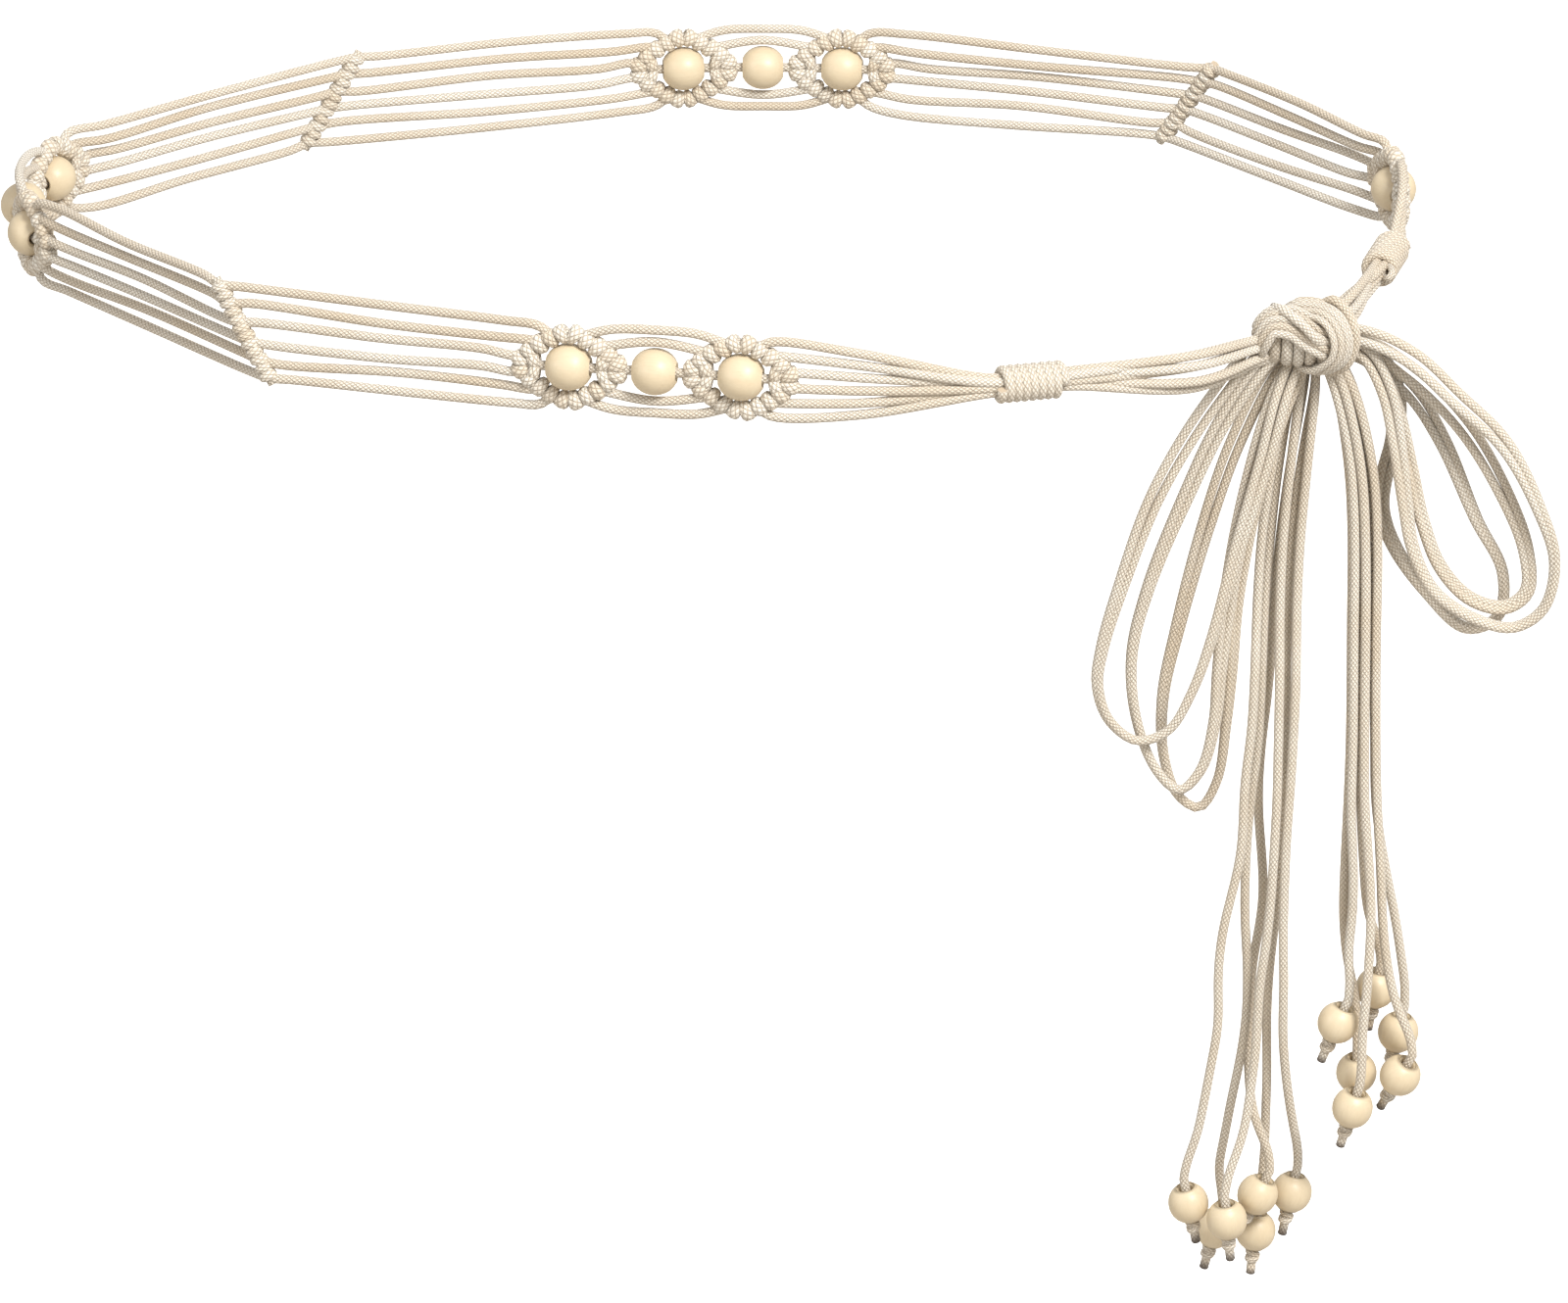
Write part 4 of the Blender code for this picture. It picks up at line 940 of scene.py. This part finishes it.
# Painted shade colour for the grooves of the plait
COTTON_GROOVE_SHADE = (0.44, 0.33, 0.21)
SINGED = (0.05, 0.028, 0.018)
WOOD_PALE = (0.72, 0.61, 0.43)
WOOD_HONEY = (0.64, 0.51, 0.33)
WOOD_STREAK = (0.47, 0.34, 0.19)

COTTON = cotton_material()
WOOD = wood_material()


# Light and floor

FLOOR_Z = -0.34
FLOOR_GLOW = 1.0


def area_light(name, place, aim, size, power):
    data = bpy.data.lights.new(name, "AREA")
    data.shape = "DISK"
    data.size = size
    data.energy = power
    made = bpy.data.objects.new(name, data)
    made.location = place
    made.rotation_euler = (Vector(aim) - Vector(place)).to_track_quat("-Z", "Y").to_euler()
    bpy.context.scene.collection.objects.link(made)


def studio():
    world = bpy.data.worlds.new("studio")
    bpy.context.scene.world = world
    world.use_nodes = True
    world.node_tree.nodes["Background"].inputs["Color"].default_value = (1.0, 1.0, 1.0, 1.0)
    world.node_tree.nodes["Background"].inputs["Strength"].default_value = 0.62
    bm = bmesh.new()
    bmesh.ops.create_grid(bm, x_segments=1, y_segments=1, size=12.0)
    bmesh.ops.translate(bm, verts=bm.verts, vec=(0.0, 0.0, FLOOR_Z))
    mesh = bpy.data.meshes.new("floor")
    bm.to_mesh(mesh)
    bm.free()
    paper = bpy.data.materials.new("floor_paper")
    paper.use_nodes = True
    shader = paper.node_tree.nodes["Principled BSDF"]
    shader.inputs["Base Color"].default_value = (0.5, 0.47, 0.43, 1.0)
    shader.inputs["Roughness"].default_value = 0.9
    shader.inputs["Emission Color"].default_value = (1.0, 1.0, 1.0, 1.0)
    seen = node(paper.node_tree, "ShaderNodeLightPath").outputs["Is Camera Ray"]
    paper.node_tree.links.new(maths(paper.node_tree, "MULTIPLY", seen, FLOOR_GLOW), shader.inputs["Emission Strength"])
    mesh.materials.append(paper)
    floor = bpy.data.objects.new("floor", mesh)
    bpy.context.scene.collection.objects.link(floor)
    bpy.context.scene.view_settings.view_transform = "Standard"
    area_light("key", (1.0, -1.4, 1.7), (0.0, 0.0, -0.05), 0.9, 66.0)
    area_light("fill", (-1.7, -1.2, 0.9), (0.0, 0.0, -0.1), 1.6, 11.0)


# The belt

set_camera()
motif("front_motif", FRONT_MOTIF_AT, "front_motif_net")
motif("left_motif", LEFT_MOTIF_AT, "left_motif_net")
motif("back_motif", BACK_MOTIF_AT, "back_motif_net")
for place, middle in (("front", FRONT_MOTIF_AT), ("left", LEFT_MOTIF_AT), ("back", BACK_MOTIF_AT)):
    for i in range(3):
        s = middle + (i - 1) * MOTIF_STEP
        node_name = f"{place}_motif_bead_{i + 1}"
        turned_bead(f"{node_name}_turned", BEAD_DIAMETER, BEAD_LENGTH, waist_point(s), along(s), node_name)
single = Skein()
flower(single, FLOWER_AT)
bead_cord(single, FLOWER_AT - RING_LONG, FLOWER_AT + RING_LONG, (FLOWER_AT,))
single.finish("right_flower", "right_flower_net")
turned_bead("right_flower_bead_turned", BEAD_DIAMETER, BEAD_LENGTH, waist_point(FLOWER_AT), along(FLOWER_AT),
            "right_flower_bead")
ladder("front_left_run", FRONT_MOTIF_AT + MOTIF_STEP, FRONT_BAR_AT, LEFT_MOTIF_AT - MOTIF_STEP, "front_left_ladder")
ladder("back_left_run", LEFT_MOTIF_AT + MOTIF_STEP, LEFT_BAR_AT, BACK_MOTIF_AT - MOTIF_STEP, "back_left_ladder")
ladder("back_right_run", BACK_MOTIF_AT + MOTIF_STEP, RIGHT_BAR_AT, FLOWER_AT, "back_right_ladder")
lead("front_lead_cords", FRONT_MOTIF_AT - MOTIF_STEP, FRONT_WHIP_AT, -1, 0.0, FRONT_LEAD_SLOTS, -0.0035, "front_lead")
lead("right_lead_cords", FLOWER_AT, RIGHT_WHIP_AT, 1, GIRTH, RIGHT_LEAD_SLOTS, 0.0, "right_lead")
whipping("front_whipping_cord", FRONT_WHIP_AT, False, "front_whipping")
whipping("right_whipping_cord", RIGHT_WHIP_AT, True, "right_whipping")
knot("bow_knot_cords", "bow_knot")
bow_loop("left", LEFT_LOOP, "bow_loop_left")
bow_loop("right", RIGHT_LOOP, "bow_loop_right")
for i, row in enumerate(LEFT_TAIL):
    tail("left", i + 1, row)
for i, row in enumerate(RIGHT_TAIL):
    tail("right", i + 1, row)
studio()
